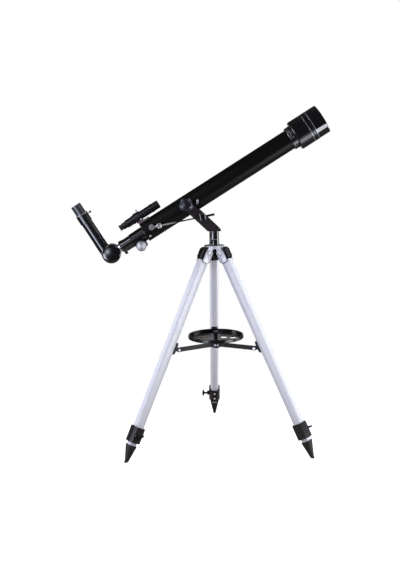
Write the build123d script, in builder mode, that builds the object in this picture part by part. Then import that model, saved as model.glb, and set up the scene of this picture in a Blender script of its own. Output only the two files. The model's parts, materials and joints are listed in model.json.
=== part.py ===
from build123d import *
import os
from math import atan2, cos, hypot, pi, radians, sin

# A small refractor telescope on an alt-azimuth yoke and a folding tripod.
# Millimetres, +Z up. The origin is on the floor under the azimuth axis, the tube
# points towards +X and one leg stands at the back, along +Y.

os.makedirs("parts", exist_ok=True)

# Clearances shared by all fits
RUNNING_GAP = 0.05
SLIDE_GAP = 0.4
REST_GAP = 0.3

# Edge breaks of turned pieces
EDGE = 1.0
FINE_EDGE = 0.6

# Tripod stance
LEG_AZIMUTHS = {"a": 90.0, "b": 210.0, "c": 330.0}
LEG_SPLAY = 26.1
LEG_PIVOT_RADIUS = 27.0
LEG_PIVOT_HEIGHT = 572.0

# Tripod head casting
HEAD_DISC_RADIUS = 29.0
HEAD_DISC_THICKNESS = 8.0
HEAD_DISC_ABOVE_PIVOT = 10.0
HEAD_CORE_RADIUS = 13.0
HEAD_CORE_DEPTH = 26.0
SOCKET_RADIUS = 14.0
SOCKET_HEIGHT = 17.5
CHEEK_THICKNESS = 2.2
CHEEK_REACH = 30.0
CHEEK_OUTER_HALF = 8.0
CHEEK_INNER_HALF = 9.0
CHEEK_TOP_INNER_RADIUS = 12.0
CHEEK_TOP_OUTER_RADIUS = 27.0
LEG_BOLT_RADIUS = 3.0
LEG_BOLT_HEAD_RADIUS = 5.0
LEG_BOLT_HEAD_HEIGHT = 3.5

# Leg section: a flat inner face, sides that widen, straight sides, chamfered outer edges
LEG_WIDTH = 25.5
LEG_DEPTH = 27.0
LEG_INNER_FLAT = 14.5
LEG_TAPER_DEPTH = 11.5
LEG_EDGE = 3.5
LEG_WALL = 1.6
INNER_LEG_WALL = 1.5

# Places along a leg: the upper ones from its pivot, the lower ones back from the floor
CAP_TOP = -9.5
CAP_END = 26.0
CAP_WIDTH = 26.0
CAP_GROW = 1.5
CAP_OUT = 5.0
CAP_SLOPE = 6.0
CAP_SPIGOT = 22.0
CAP_DISC_ROOM = 3.0
CAP_CORE_ROOM = 2.4
COLLAR_LENGTH = 45.0
COLLAR_FROM_FLOOR = 61.0
COLLAR_STOP = 14.0
INNER_LEG_START = 150.0
FOOT_LENGTH = 52.0
FOOT_SOCKET = 7.0
FOOT_NIB_LENGTH = 6.0
COLLAR_GROW = 4.5
FOOT_GROW = 0.8
FOOT_NIB_SHARE = 0.36
FOOT_NIB_SHIFT = 4.0

# Collar thumbscrew
LOCK_SCREW_FROM_END = 21.0
LOCK_SCREW_OUT = 4.0
LOCK_SCREW_RADIUS = 3.0
LOCK_BOSS_RADIUS = 7.0
LOCK_BOSS_HEIGHT = 6.5
WING_STEM = 6.5
WING_HALF_HEIGHT = 12.7
WING_HALF_LENGTH = 3.2
WING_THICKNESS = 5.0
WING_COLLAR_RADIUS = 4.0
WING_COLLAR_HEIGHT = 3.0
WING_TURNS = {"a": 0.0, "b": 45.0, "c": 90.0}

# Spreader and tray
BRACKET_ALONG = 288.6
BRACKET_STANDOFF = 17.0
BRACKET_HALF_LENGTH = 18.0
BRACKET_THICKNESS = 1.5
BRACKET_BOLT_RADIUS = 2.5
BRACKET_EAR_RADIUS = 6.0
ARM_WIDTH = 8.0
ARM_DEPTH = 11.5
ARM_WALL = 1.2
ARM_SIDE_GAP = 0.6
ARM_SLOT_TRAVEL = 6.0
ARM_SLOT_SPARE = 0.9
HUB_PIN_RADIUS = 2.0
HUB_PIN_CIRCLE = 10.5
HUB_RADIUS = 16.0
HUB_BELOW = 8.5
HUB_SLOT_ABOVE = 7.5
HUB_TOP_ABOVE = 18.3
HUB_STUD_RADIUS = 4.0
HUB_STUD_HEIGHT = 6.0
TRAY_RADIUS = 80.5
TRAY_HEIGHT = 10.5
TRAY_RIM = 3.0
TRAY_FLOOR = 2.5
TRAY_BOSS_RADIUS = 6.5
TRAY_BOSS_HEIGHT = 20.0
TRAY_HOLES = (
    (22.0, -2.0, 14.0),
    (50.0, -10.0, 12.5),
    (-15.0, 14.5, 4.5),
    (-57.0, -4.5, 4.5),
    (-43.5, -6.0, 4.5),
)

# Yoke and its spindle
SPINDLE_RADIUS = 8.0
SPINDLE_DEPTH = 40.0
SPINDLE_FLANGE_HEIGHT = 26.0
YOKE_BASE_THICKNESS = 6.0
YOKE_GAP = 68.0
YOKE_ARM_THICKNESS = 4.0
YOKE_ARM_WIDTH = 27.0
YOKE_FOOT_X = 0.5
AZIMUTH_SCREW_RADIUS = 3.0
AZIMUTH_SCREW_ABOVE = 10.0
AZIMUTH_KNOB_RADIUS = 6.5

# Altitude axis
ALTITUDE_X = -78.0
YOKE_RISE = 76.2
TUBE_ELEVATION = 31.4
TUBE_DROP = 4.6
ALTITUDE_SCREW_RADIUS = 4.0
ALTITUDE_KNOB_RADIUS = 16.0
ALTITUDE_KNOB_HEIGHT = 12.5
ALTITUDE_KNOB_EDGE = 1.5
ALTITUDE_KNOB_DOME = 4.0
WASHER_RADIUS = 19.5
WASHER_HEIGHT = 2.5
PAD_RADIUS = 15.0
PAD_SINK = 10.0

# Optical tube, a little under the altitude axis, with places along it measured from that axis
TUBE_RADIUS = 28.9
TUBE_WALL = 1.5
TUBE_REAR = -142.0
TUBE_FRONT = 343.0
CELL_RADIUS = 33.0
CELL_LENGTH = 16.5
CELL_SPIGOT = 15.0
CELL_STOP_RADIUS = 25.0
LENS_RADIUS = 30.0
LENS_STACK = 11.0
CROWN_THICKNESS = 6.5
DEW_RADIUS = 43.0
DEW_WALL = 2.0
DEW_LENGTH = 91.5
DEW_BACK_WALL = 5.0
DEW_BEVEL = 3.0
LENS_LIP = 1.0

# Focuser
FOCUSER_FLANGE = 2.0
FOCUSER_LIP = 1.0
FOCUSER_SPIGOT = 20.0
FOCUSER_RADIUS = 18.3
FOCUSER_LENGTH = 44.0
DRAWTUBE_RADIUS = 16.5
DRAWTUBE_BORE = 14.7
DRAWTUBE_REAR = -224.0
DRAWTUBE_LENGTH = 110.0
DRAWTUBE_LIP = 1.2
DRAWTUBE_LIP_LENGTH = 10.0
BARREL_RADIUS = 12.25
BARREL_DEPTH = 36.0
BARREL_WALL = 1.2
PINION_ALONG = -170.0
GEAR_MODULE = 1.0
PINION_TEETH = 13
PINION_WIDTH = 7.0
RACK_PITCH_LINE = 19.5
RACK_TEETH = 28
RACK_WIDTH = 7.0
RACK_SINK = 1.0
TOOTH_RISE = 0.8
TOOTH_ROOT = 1.1
TOOTH_HALF = 0.55
TOOTH_SLOPE = 0.364
TOOTH_SINK = 0.2
PINION_SHAFT_RADIUS = 2.5
PINION_BLOCK_HALF_LENGTH = 16.0
PINION_BLOCK_HALF_WIDTH = 12.0
PINION_BLOCK_BELOW = 10.0
PINION_BLOCK_ROUND = 4.0
RACK_COVER_WALL = 2.5
HOUSING_LIP = 0.8
FOCUS_KNOB_RADIUS = 14.8
FOCUS_KNOB_INNER = 22.0
FOCUS_KNOB_WIDTH = 12.0
SET_SCREW_RADIUS = 2.0
SET_SCREW_HEAD_RADIUS = 4.5
SET_SCREW_HEAD_HEIGHT = 7.0
DRAWTUBE_SCREW_FROM_END = 4.5

# Eye end: places along the eyepiece axis are measured from where it crosses the tube's axis
DRUM_ALONG = -256.6
DRUM_RADIUS = 27.2
DRUM_HALF_WIDTH = 14.0
DRUM_DOME = 6.0
DRUM_WALL = 3.0
DIAGONAL_BEND = 90.0
EYE_BEHIND = 11.0
STUB_RADIUS = 16.6
STUB_END = 47.0
NOSE_LENGTH = 38.0
MIRROR_SHARE = 0.66
MIRROR_THICKNESS = 3.0
MIRROR_SEAT_RADIUS = 4.0
BARLOW_RADIUS = 16.2
BARLOW_END = 112.0
BARLOW_BARREL = 20.0
BARLOW_BORE = 10.5
BARLOW_LENS_AT = 50.0
BARLOW_LENS_THICKNESS = 4.0
COLLAR_RADIUS = 17.9
COLLAR_TOP = 140.5
EYEPIECE_RADIUS = 14.9
EYEPIECE_BAND_RADIUS = 15.4
EYEPIECE_BAND = 4.0
EYEPIECE_TOP = 170.5
EYEPIECE_BORE = 9.5
EYEPIECE_BARREL = 25.0
EYE_LENS_THICKNESS = 4.0
EYE_LENS_SINK = 4.0
BARLOW_SCREW_AT = 133.0
BARLOW_SCREW_STEM = 5.5
BARLOW_SCREW_HEAD_RADIUS = 3.0
BARLOW_SCREW_HEAD_HEIGHT = 4.5

# Finder
FINDER_ABOVE = 46.9
FINDER_REAR = -197.0
FINDER_LENGTH = 131.0
FINDER_RADIUS = 11.5
FINDER_BORE = 9.5
FINDER_EYE_RADIUS = 9.5
FINDER_NECK_RADIUS = 7.8
FINDER_EYE_BORE = 6.0
FINDER_RING_RADIUS = 12.6
FINDER_LENS_THICKNESS = 3.0
FINDER_CUP_END = 4.0
FINDER_NECK_END = 9.0
FINDER_EYE_END = 20.0
FINDER_CONE_END = 24.0
FINDER_FLANGE_AT = 43.0
FINDER_RING_AT = 105.0
FINDER_RING_WIDTH = 5.0
FINDER_EYE_DEPTH = 30.0
FINDER_EYE_LENS_AT = 6.0
FINDER_LENS_FROM_FRONT = 18.0
BRACKET_RING_RADIUS = 14.6
BRACKET_RING_START = -147.0
BRACKET_RING_END = -127.0
BRACKET_FOOT_START = -141.0
BRACKET_FOOT_END = -110.0
BRACKET_FOOT_HALF_WIDTH = 9.0
BRACKET_FOOT_HEIGHT = 3.0
BRACKET_STALK_HALF_WIDTH = 5.0

# Slow-motion rod in front of the near yoke arm
ROD_PIVOT_ALONG = -115.4
ROD_GUIDE_ALONG_ARM = 56.05
ROD_GUIDE_ABOVE_ARM = 7.72
ROD_PLANE_Y = -49.0
ROD_RADIUS = 2.0
ROD_OVERRUN = 34.0
ROD_EYE_RADIUS = 8.0
ROD_EYE_HALF_WIDTH = 3.0
ROD_NECK_RADIUS = 2.6
ROD_POST_RADIUS = 7.0
ROD_POST_CAP_RADIUS = 6.0
ROD_POST_CAP_HEIGHT = 2.5
ROD_PIN_RADIUS = 3.0
ROD_NUT_AT = 22.0
ROD_NUT_HALF_LENGTH = 6.0
ROD_NUT_RADIUS = 7.5
ROD_CAP_RADIUS = 3.2
ROD_CAP_LENGTH = 24.0
FORK_BASE_THICKNESS = 1.6
FORK_EAR_HALF_HEIGHT = 8.5
FORK_EAR_THICKNESS = 2.0
FORK_HALF_GAP = 6.0
ROD_SIDE_PLAY = 4.6
WHEEL_RADIUS = 8.3
WHEEL_END_GAP = 0.4

# Planes and points worked out from the sizes above
SIDE = Plane(origin=(0, 0, 0), x_dir=(1, 0, 0), z_dir=(0, -1, 0))
DISC_BOTTOM = LEG_PIVOT_HEIGHT + HEAD_DISC_ABOVE_PIVOT
DISC_TOP = DISC_BOTTOM + HEAD_DISC_THICKNESS
SOCKET_TOP = DISC_TOP + SOCKET_HEIGHT
SPINDLE_FOOT = SOCKET_TOP + REST_GAP
YOKE_BOTTOM = SPINDLE_FOOT + SPINDLE_FLANGE_HEIGHT
ALTITUDE_HEIGHT = YOKE_BOTTOM + YOKE_RISE
ARM_RUN = YOKE_FOOT_X - ALTITUDE_X
ARM_LENGTH = hypot(ARM_RUN, YOKE_RISE)
ARM_AXIS = Vector(ARM_RUN / ARM_LENGTH, 0, -YOKE_RISE / ARM_LENGTH)
ARM_UP = Vector(YOKE_RISE / ARM_LENGTH, 0, ARM_RUN / ARM_LENGTH)
YOKE_OUTER_Y = YOKE_GAP / 2 + YOKE_ARM_THICKNESS
TILT = radians(TUBE_ELEVATION)
TUBE_AXIS = (cos(TILT), 0, sin(TILT))
TUBE_UP = Vector(-sin(TILT), 0, cos(TILT))
ALTITUDE = Vector(ALTITUDE_X, 0, ALTITUDE_HEIGHT)
OTA = Plane(origin=ALTITUDE - TUBE_UP * TUBE_DROP, x_dir=TUBE_AXIS, z_dir=(0, -1, 0))
EYE_TILT = radians(TUBE_ELEVATION + DIAGONAL_BEND)
DRUM_CENTRE = OTA.from_local_coords((DRUM_ALONG, 0, 0))
EYE_FOOT = OTA.from_local_coords((DRUM_ALONG - EYE_BEHIND, 0, 0))
EYE = Plane(origin=EYE_FOOT, x_dir=(cos(EYE_TILT), 0, sin(EYE_TILT)), z_dir=(0, -1, 0))
FINDER_EYE = OTA.from_local_coords((FINDER_REAR, FINDER_ABOVE, 0))
FINDER = Plane(origin=FINDER_EYE, x_dir=TUBE_AXIS, z_dir=(0, -1, 0))
ROD_START = OTA.from_local_coords((ROD_PIVOT_ALONG, TUBE_DROP, -ROD_PLANE_Y))
ROD_GUIDE_ON_ARM = ALTITUDE + ARM_AXIS * ROD_GUIDE_ALONG_ARM + ARM_UP * ROD_GUIDE_ABOVE_ARM
ROD_GUIDE = ROD_GUIDE_ON_ARM + Vector(0, ROD_PLANE_Y, 0)
ROD_SPAN = hypot(ROD_GUIDE.X - ROD_START.X, ROD_GUIDE.Z - ROD_START.Z)
ROD_TILT = atan2(ROD_GUIDE.Z - ROD_START.Z, ROD_GUIDE.X - ROD_START.X)
ROD_AXIS = (cos(ROD_TILT), 0, sin(ROD_TILT))
ROD = Plane(origin=ROD_START, x_dir=ROD_AXIS, z_dir=(0, -1, 0))
FORK = Plane(origin=ROD_GUIDE, x_dir=ROD_AXIS, z_dir=(0, -1, 0))
SPLAY = radians(LEG_SPLAY)
FLOOR_ALONG = LEG_PIVOT_HEIGHT / cos(SPLAY)
FOOT_START = FLOOR_ALONG - FOOT_LENGTH
FOOT_TAPER_END = FLOOR_ALONG - FOOT_NIB_LENGTH
COLLAR_END = FLOOR_ALONG - COLLAR_FROM_FLOOR
COLLAR_START = COLLAR_END - COLLAR_LENGTH
OUTER_LEG_END = COLLAR_END - COLLAR_STOP
LOCK_SCREW_ALONG = COLLAR_END - LOCK_SCREW_FROM_END
LEG_OUTLINE = (
    (-LEG_DEPTH / 2, -LEG_INNER_FLAT / 2),
    (-LEG_DEPTH / 2 + LEG_TAPER_DEPTH, -LEG_WIDTH / 2),
    (LEG_DEPTH / 2 - LEG_EDGE, -LEG_WIDTH / 2),
    (LEG_DEPTH / 2, -LEG_WIDTH / 2 + LEG_EDGE),
    (LEG_DEPTH / 2, LEG_WIDTH / 2 - LEG_EDGE),
    (LEG_DEPTH / 2 - LEG_EDGE, LEG_WIDTH / 2),
    (-LEG_DEPTH / 2 + LEG_TAPER_DEPTH, LEG_WIDTH / 2),
    (-LEG_DEPTH / 2, LEG_INNER_FLAT / 2),
)
FOOT_NIB_OUTLINE = tuple((x * FOOT_NIB_SHARE, y * FOOT_NIB_SHARE) for x, y in LEG_OUTLINE)
BRACKET_BOLT_U = -LEG_DEPTH / 2 - BRACKET_STANDOFF
ARM_RADIUS_OUT = LEG_PIVOT_RADIUS + BRACKET_ALONG * sin(SPLAY) + BRACKET_BOLT_U * cos(SPLAY)
ARM_HEIGHT = LEG_PIVOT_HEIGHT - BRACKET_ALONG * cos(SPLAY) + BRACKET_BOLT_U * sin(SPLAY)
TRAY_BOTTOM = ARM_HEIGHT + HUB_TOP_ABOVE + REST_GAP


class LegFrame:
    """The planes of one leg: across it, along its side, and in the tripod's radial plane."""

    def __init__(self, azimuth, wing_turn):
        turn_angle = radians(azimuth)
        wing_angle = radians(wing_turn)
        out = Vector(cos(turn_angle), sin(turn_angle), 0)
        self.tangent = Vector(-sin(turn_angle), cos(turn_angle), 0)
        self.down = out * sin(SPLAY) - Vector(0, 0, cos(SPLAY))
        self.outward = out * cos(SPLAY) + Vector(0, 0, sin(SPLAY))
        self.pivot = out * LEG_PIVOT_RADIUS + Vector(0, 0, LEG_PIVOT_HEIGHT)
        self.across = Plane(origin=self.pivot, x_dir=self.outward, z_dir=self.down)
        self.side = Plane(origin=self.pivot, x_dir=self.outward, z_dir=self.tangent)
        self.radial = Plane(origin=(0, 0, 0), x_dir=out, z_dir=-self.tangent)
        screw_origin = self.pivot + self.down * LOCK_SCREW_ALONG + self.outward * LOCK_SCREW_OUT
        self.screw = Plane(origin=screw_origin, x_dir=self.outward, z_dir=self.tangent)
        wing_along = self.down * cos(wing_angle) + self.outward * sin(wing_angle)
        wing_face = self.outward * cos(wing_angle) - self.down * sin(wing_angle)
        self.wing = Plane(origin=screw_origin, x_dir=wing_along, z_dir=wing_face)


LEGS = {name: LegFrame(azimuth, WING_TURNS[name]) for name, azimuth in LEG_AZIMUTHS.items()}


def turn(plane, outline, mode=Mode.ADD):
    """Revolve an outline of (along, radius) points about the plane's x axis."""
    with BuildSketch(plane) as profile:
        Polygon(*outline, align=None)
    revolve(profile.sketch, axis=Axis(plane.origin, plane.x_dir), mode=mode)


def prism(plane, outline, start, end, mode=Mode.ADD):
    """Extrude an outline of (x, y) points from start to end along the plane's normal."""
    with BuildSketch(plane.offset(start)) as profile:
        Polygon(*outline, align=None)
    extrude(profile.sketch, amount=end - start, dir=plane.z_dir, mode=mode)


def post(plane, place, radius, start, end, mode=Mode.ADD):
    """Extrude a round from start to end along the plane's normal."""
    with BuildSketch(plane.offset(start)) as profile:
        with Locations(place):
            Circle(radius)
    extrude(profile.sketch, amount=end - start, dir=plane.z_dir, mode=mode)


def leg_bar(leg, start, end, grow=0.0, mode=Mode.ADD):
    """Extrude the leg section, grown or shrunk, between two places along a leg."""
    with BuildSketch(leg.across.offset(start)) as section:
        Polygon(*LEG_OUTLINE, align=None)
        if grow:
            offset(amount=grow, kind=Kind.INTERSECTION)
    extrude(section.sketch, amount=end - start, dir=leg.down, mode=mode)


def rectangle(x_low, y_low, x_high, y_high):
    """The corners of a rectangle, for an outline."""
    return ((x_low, y_low), (x_high, y_low), (x_high, y_high), (x_low, y_high))


def ring(low, high, inner, outer):
    """The outline of a plain ring between two places along its axis."""
    return rectangle(low, inner, high, outer)


def keep(builder, label):
    """Label a finished piece and write it."""
    builder.part.label = label
    export_step(builder.part, f"parts/{label}.step")


# Tripod head: disc, socket for the spindle, core, and a pair of clevis cheeks for each leg
CHEEK_INSIDE = CAP_WIDTH / 2 + SLIDE_GAP
CHEEK_OUTSIDE = CHEEK_INSIDE + CHEEK_THICKNESS


def leg_point(along, out):
    """A place on a leg, given along it and outward from its centre line, as radius and height."""
    radius = LEG_PIVOT_RADIUS + along * sin(SPLAY) + out * cos(SPLAY)
    height = LEG_PIVOT_HEIGHT - along * cos(SPLAY) + out * sin(SPLAY)
    return (radius, height)


CHEEK_OUTLINE = (
    (CHEEK_TOP_INNER_RADIUS, DISC_BOTTOM + HEAD_DISC_THICKNESS / 2),
    leg_point(0, -CHEEK_INNER_HALF),
    leg_point(CHEEK_REACH, -CHEEK_INNER_HALF),
    leg_point(CHEEK_REACH, CHEEK_OUTER_HALF),
    leg_point(0, CHEEK_OUTER_HALF),
    (CHEEK_TOP_OUTER_RADIUS, DISC_BOTTOM + HEAD_DISC_THICKNESS / 2),
)

with BuildPart() as tripod_head:
    post(Plane.XY, (0, 0), HEAD_DISC_RADIUS, DISC_BOTTOM, DISC_TOP)
    post(Plane.XY, (0, 0), SOCKET_RADIUS, DISC_TOP, SOCKET_TOP)
    post(Plane.XY, (0, 0), HEAD_CORE_RADIUS, DISC_BOTTOM - HEAD_CORE_DEPTH, DISC_BOTTOM)
    for leg in LEGS.values():
        for low, high in ((CHEEK_INSIDE, CHEEK_OUTSIDE), (-CHEEK_OUTSIDE, -CHEEK_INSIDE)):
            prism(leg.radial, CHEEK_OUTLINE, low, high)
        post(leg.side, (0, 0), LEG_BOLT_RADIUS, -CHEEK_OUTSIDE, CHEEK_OUTSIDE, Mode.SUBTRACT)
    spindle_bore = SPINDLE_RADIUS + RUNNING_GAP
    post(Plane.XY, (0, 0), spindle_bore, SOCKET_TOP - SPINDLE_DEPTH, SOCKET_TOP, Mode.SUBTRACT)
    lock_plane = Plane(origin=(0, 0, DISC_TOP + AZIMUTH_SCREW_ABOVE), x_dir=(1, 0, 0), z_dir=(0, 1, 0))
    post(lock_plane, (0, 0), AZIMUTH_SCREW_RADIUS + RUNNING_GAP, 0, SOCKET_RADIUS, Mode.SUBTRACT)
keep(tripod_head, "tripod_head")

# Hinge bolts of the three legs, with a head at one end and a nut at the other
with BuildPart() as leg_bolts:
    bolt_face = CHEEK_OUTSIDE + RUNNING_GAP
    bolt_end = bolt_face + LEG_BOLT_HEAD_HEIGHT
    for leg in LEGS.values():
        post(leg.side, (0, 0), LEG_BOLT_RADIUS - RUNNING_GAP / 2, -bolt_end, bolt_end)
        post(leg.side, (0, 0), LEG_BOLT_HEAD_RADIUS, bolt_face, bolt_end)
        post(leg.side, (0, 0), LEG_BOLT_HEAD_RADIUS, -bolt_end, -bolt_face)
keep(leg_bolts, "leg_bolts")

# Screw that locks the azimuth spindle, with a small round head at the back
with BuildPart() as azimuth_lock_screw:
    screw_tip = SPINDLE_RADIUS + REST_GAP
    knob_face = SOCKET_RADIUS + REST_GAP
    post(lock_plane, (0, 0), AZIMUTH_SCREW_RADIUS, screw_tip, knob_face + SET_SCREW_HEAD_HEIGHT)
    post(lock_plane, (0, 0), AZIMUTH_KNOB_RADIUS, knob_face, knob_face + SET_SCREW_HEAD_HEIGHT)
keep(azimuth_lock_screw, "azimuth_lock_screw")

# The pieces of each leg
COLLAR_SIDE = LEG_WIDTH / 2 + COLLAR_GROW
INNER_LEG_SHRINK = LEG_WALL + SLIDE_GAP

for name, leg in LEGS.items():
    # Black cap between the clevis cheeks, with a spigot into the leg tube
    with BuildPart() as leg_cap:
        leg_bar(leg, CAP_TOP, CAP_END, CAP_GROW)
        cap_face = LEG_DEPTH / 2 + CAP_OUT
        cap_back = (
            (0, CAP_TOP),
            (cap_face - CAP_SLOPE, CAP_TOP),
            (cap_face, CAP_TOP + CAP_SLOPE),
            (cap_face, CAP_END - CAP_SLOPE),
            (LEG_DEPTH / 2 + CAP_GROW, CAP_END),
            (0, CAP_END),
        )
        cap_back_half = LEG_WIDTH / 2 - LEG_EDGE
        prism(leg.side, cap_back, -cap_back_half, cap_back_half)
        with BuildSketch(leg.side.offset(-CAP_WIDTH / 2)) as cap_side:
            Polygon(*rectangle(-LEG_DEPTH, CAP_TOP - LEG_DEPTH, LEG_DEPTH, CAP_END + LEG_DEPTH), align=None)
        extrude(cap_side.sketch, amount=CAP_WIDTH, dir=leg.tangent, mode=Mode.INTERSECT)
        leg_bar(leg, CAP_END, CAP_END + CAP_SPIGOT, -LEG_WALL - RUNNING_GAP)
        disc_room = HEAD_DISC_RADIUS + 2 * SLIDE_GAP
        disc_room_low = DISC_BOTTOM - CAP_DISC_ROOM
        post(Plane.XY, (0, 0), disc_room, disc_room_low, DISC_TOP + LEG_DEPTH, Mode.SUBTRACT)
        core_room = HEAD_CORE_RADIUS + CAP_CORE_ROOM
        core_room_low = DISC_BOTTOM - HEAD_CORE_DEPTH - CAP_CORE_ROOM
        post(Plane.XY, (0, 0), core_room, core_room_low, DISC_TOP, Mode.SUBTRACT)
        post(leg.side, (0, 0), LEG_BOLT_RADIUS + RUNNING_GAP / 2, -CAP_WIDTH, CAP_WIDTH, Mode.SUBTRACT)
    keep(leg_cap, f"leg_cap_{name}")

    # Hollow outer leg
    with BuildPart() as outer_leg:
        leg_bar(leg, CAP_END, OUTER_LEG_END)
        leg_bar(leg, CAP_END, OUTER_LEG_END, -LEG_WALL, Mode.SUBTRACT)
        post(leg.screw, (0, 0), LOCK_SCREW_RADIUS + SLIDE_GAP, 0, LEG_WIDTH, Mode.SUBTRACT)
    keep(outer_leg, f"outer_leg_{name}")

    # Lock collar at the leg's lower end, with a boss for its thumbscrew
    with BuildPart() as lock_collar:
        leg_bar(leg, COLLAR_START, COLLAR_END, COLLAR_GROW)
        post(leg.screw, (0, 0), LOCK_BOSS_RADIUS, 0, COLLAR_SIDE + LOCK_BOSS_HEIGHT)
        leg_bar(leg, COLLAR_START, OUTER_LEG_END, mode=Mode.SUBTRACT)
        leg_bar(leg, OUTER_LEG_END, COLLAR_END, -LEG_WALL, Mode.SUBTRACT)
        post(leg.screw, (0, 0), LOCK_SCREW_RADIUS + RUNNING_GAP, 0, LEG_DEPTH, Mode.SUBTRACT)
    keep(lock_collar, f"lock_collar_{name}")

    # Wing-headed thumbscrew that presses on the inner leg
    with BuildPart() as leg_thumbscrew:
        tip = LEG_WIDTH / 2 - INNER_LEG_SHRINK + REST_GAP
        shoulder = COLLAR_SIDE + LOCK_BOSS_HEIGHT + WING_STEM
        wing_middle = shoulder + WING_COLLAR_HEIGHT + WING_HALF_LENGTH
        post(leg.screw, (0, 0), LOCK_SCREW_RADIUS, tip, wing_middle)
        post(leg.screw, (0, 0), WING_COLLAR_RADIUS, shoulder, wing_middle)
        with BuildSketch(leg.wing.offset(-WING_THICKNESS / 2)) as wing_shape:
            with Locations((0, wing_middle)):
                Ellipse(WING_HALF_HEIGHT, WING_HALF_LENGTH)
        extrude(wing_shape.sketch, amount=WING_THICKNESS, dir=leg.wing.z_dir)
    keep(leg_thumbscrew, f"leg_thumbscrew_{name}")

    # Hollow inner leg that slides in the outer one
    with BuildPart() as inner_leg:
        leg_bar(leg, INNER_LEG_START, FOOT_START + FOOT_SOCKET, -INNER_LEG_SHRINK)
        inner_bore = -INNER_LEG_SHRINK - INNER_LEG_WALL
        leg_bar(leg, INNER_LEG_START, FOOT_START + FOOT_SOCKET, inner_bore, Mode.SUBTRACT)
    keep(inner_leg, f"inner_leg_{name}")

    # Tapered foot with a nib, cut flat on the floor
    with BuildPart() as foot:
        with BuildSketch(leg.across.offset(FOOT_START)) as foot_top:
            Polygon(*LEG_OUTLINE, align=None)
            offset(amount=FOOT_GROW, kind=Kind.INTERSECTION)
        with BuildSketch(leg.across.offset(FOOT_TAPER_END)) as foot_nib:
            with Locations((-FOOT_NIB_SHIFT, 0)):
                Polygon(*FOOT_NIB_OUTLINE, align=None)
        loft((foot_top.sketch, foot_nib.sketch), ruled=True)
        extrude(foot_nib.sketch, amount=FLOOR_ALONG + LEG_DEPTH - FOOT_TAPER_END, dir=leg.down)
        leg_bar(leg, FOOT_START, FOOT_START + FOOT_SOCKET, -INNER_LEG_SHRINK, Mode.SUBTRACT)
        split(bisect_by=Plane.XY, keep=Keep.TOP)
    keep(foot, f"foot_{name}")

    # Sheet bracket on the leg's inner face: plate, two ears and a bolt across them
    with BuildPart() as leg_bracket:
        ear_inside = ARM_WIDTH / 2 + ARM_SIDE_GAP
        ear_outside = ear_inside + BRACKET_THICKNESS
        plate_face = -LEG_DEPTH / 2
        plate_back = plate_face - BRACKET_THICKNESS
        plate_low = BRACKET_ALONG - BRACKET_HALF_LENGTH
        plate_high = BRACKET_ALONG + BRACKET_HALF_LENGTH
        plate_half = LEG_INNER_FLAT / 2
        prism(leg.side, rectangle(plate_back, plate_low, plate_face, plate_high), -plate_half, plate_half)
        ear_low = BRACKET_ALONG - BRACKET_EAR_RADIUS
        ear_high = BRACKET_ALONG + BRACKET_EAR_RADIUS
        for low, high in ((ear_inside, ear_outside), (-ear_outside, -ear_inside)):
            prism(leg.side, rectangle(BRACKET_BOLT_U, ear_low, plate_back, ear_high), low, high)
            post(leg.side, (BRACKET_BOLT_U, BRACKET_ALONG), BRACKET_EAR_RADIUS, low, high)
        bolt_place = (BRACKET_BOLT_U, BRACKET_ALONG)
        post(leg.side, bolt_place, BRACKET_BOLT_RADIUS, -ear_outside, ear_outside)
    keep(leg_bracket, f"leg_bracket_{name}")

    # Channel arm from the hub to the bracket, slotted where the bracket's bolt passes
    with BuildPart() as spreader_arm:
        half = ARM_DEPTH / 2
        body = rectangle(HUB_PIN_CIRCLE, ARM_HEIGHT - half, ARM_RADIUS_OUT, ARM_HEIGHT + half)
        inside = rectangle(0, ARM_HEIGHT - ARM_DEPTH, ARM_RADIUS_OUT * 2, ARM_HEIGHT + half - ARM_WALL)
        prism(leg.radial, body, -ARM_WIDTH / 2, ARM_WIDTH / 2)
        post(leg.radial, (HUB_PIN_CIRCLE, ARM_HEIGHT), half, -ARM_WIDTH / 2, ARM_WIDTH / 2)
        post(leg.radial, (ARM_RADIUS_OUT, ARM_HEIGHT), half, -ARM_WIDTH / 2, ARM_WIDTH / 2)
        cheek = ARM_WIDTH / 2 - ARM_WALL
        prism(leg.radial, inside, -cheek, cheek, Mode.SUBTRACT)
        pin_hole = HUB_PIN_RADIUS + RUNNING_GAP
        post(leg.radial, (HUB_PIN_CIRCLE, ARM_HEIGHT), pin_hole, -ARM_WIDTH, ARM_WIDTH, Mode.SUBTRACT)
        slot_half = BRACKET_BOLT_RADIUS + ARM_SLOT_SPARE
        slot_inner = ARM_RADIUS_OUT - ARM_SLOT_TRAVEL
        slot = rectangle(slot_inner, ARM_HEIGHT - slot_half, ARM_RADIUS_OUT, ARM_HEIGHT + slot_half)
        prism(leg.radial, slot, -ARM_WIDTH, ARM_WIDTH, Mode.SUBTRACT)
        post(leg.radial, (slot_inner, ARM_HEIGHT), slot_half, -ARM_WIDTH, ARM_WIDTH, Mode.SUBTRACT)
        post(leg.radial, (ARM_RADIUS_OUT, ARM_HEIGHT), slot_half, -ARM_WIDTH, ARM_WIDTH, Mode.SUBTRACT)
    keep(spreader_arm, f"spreader_arm_{name}")

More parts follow.
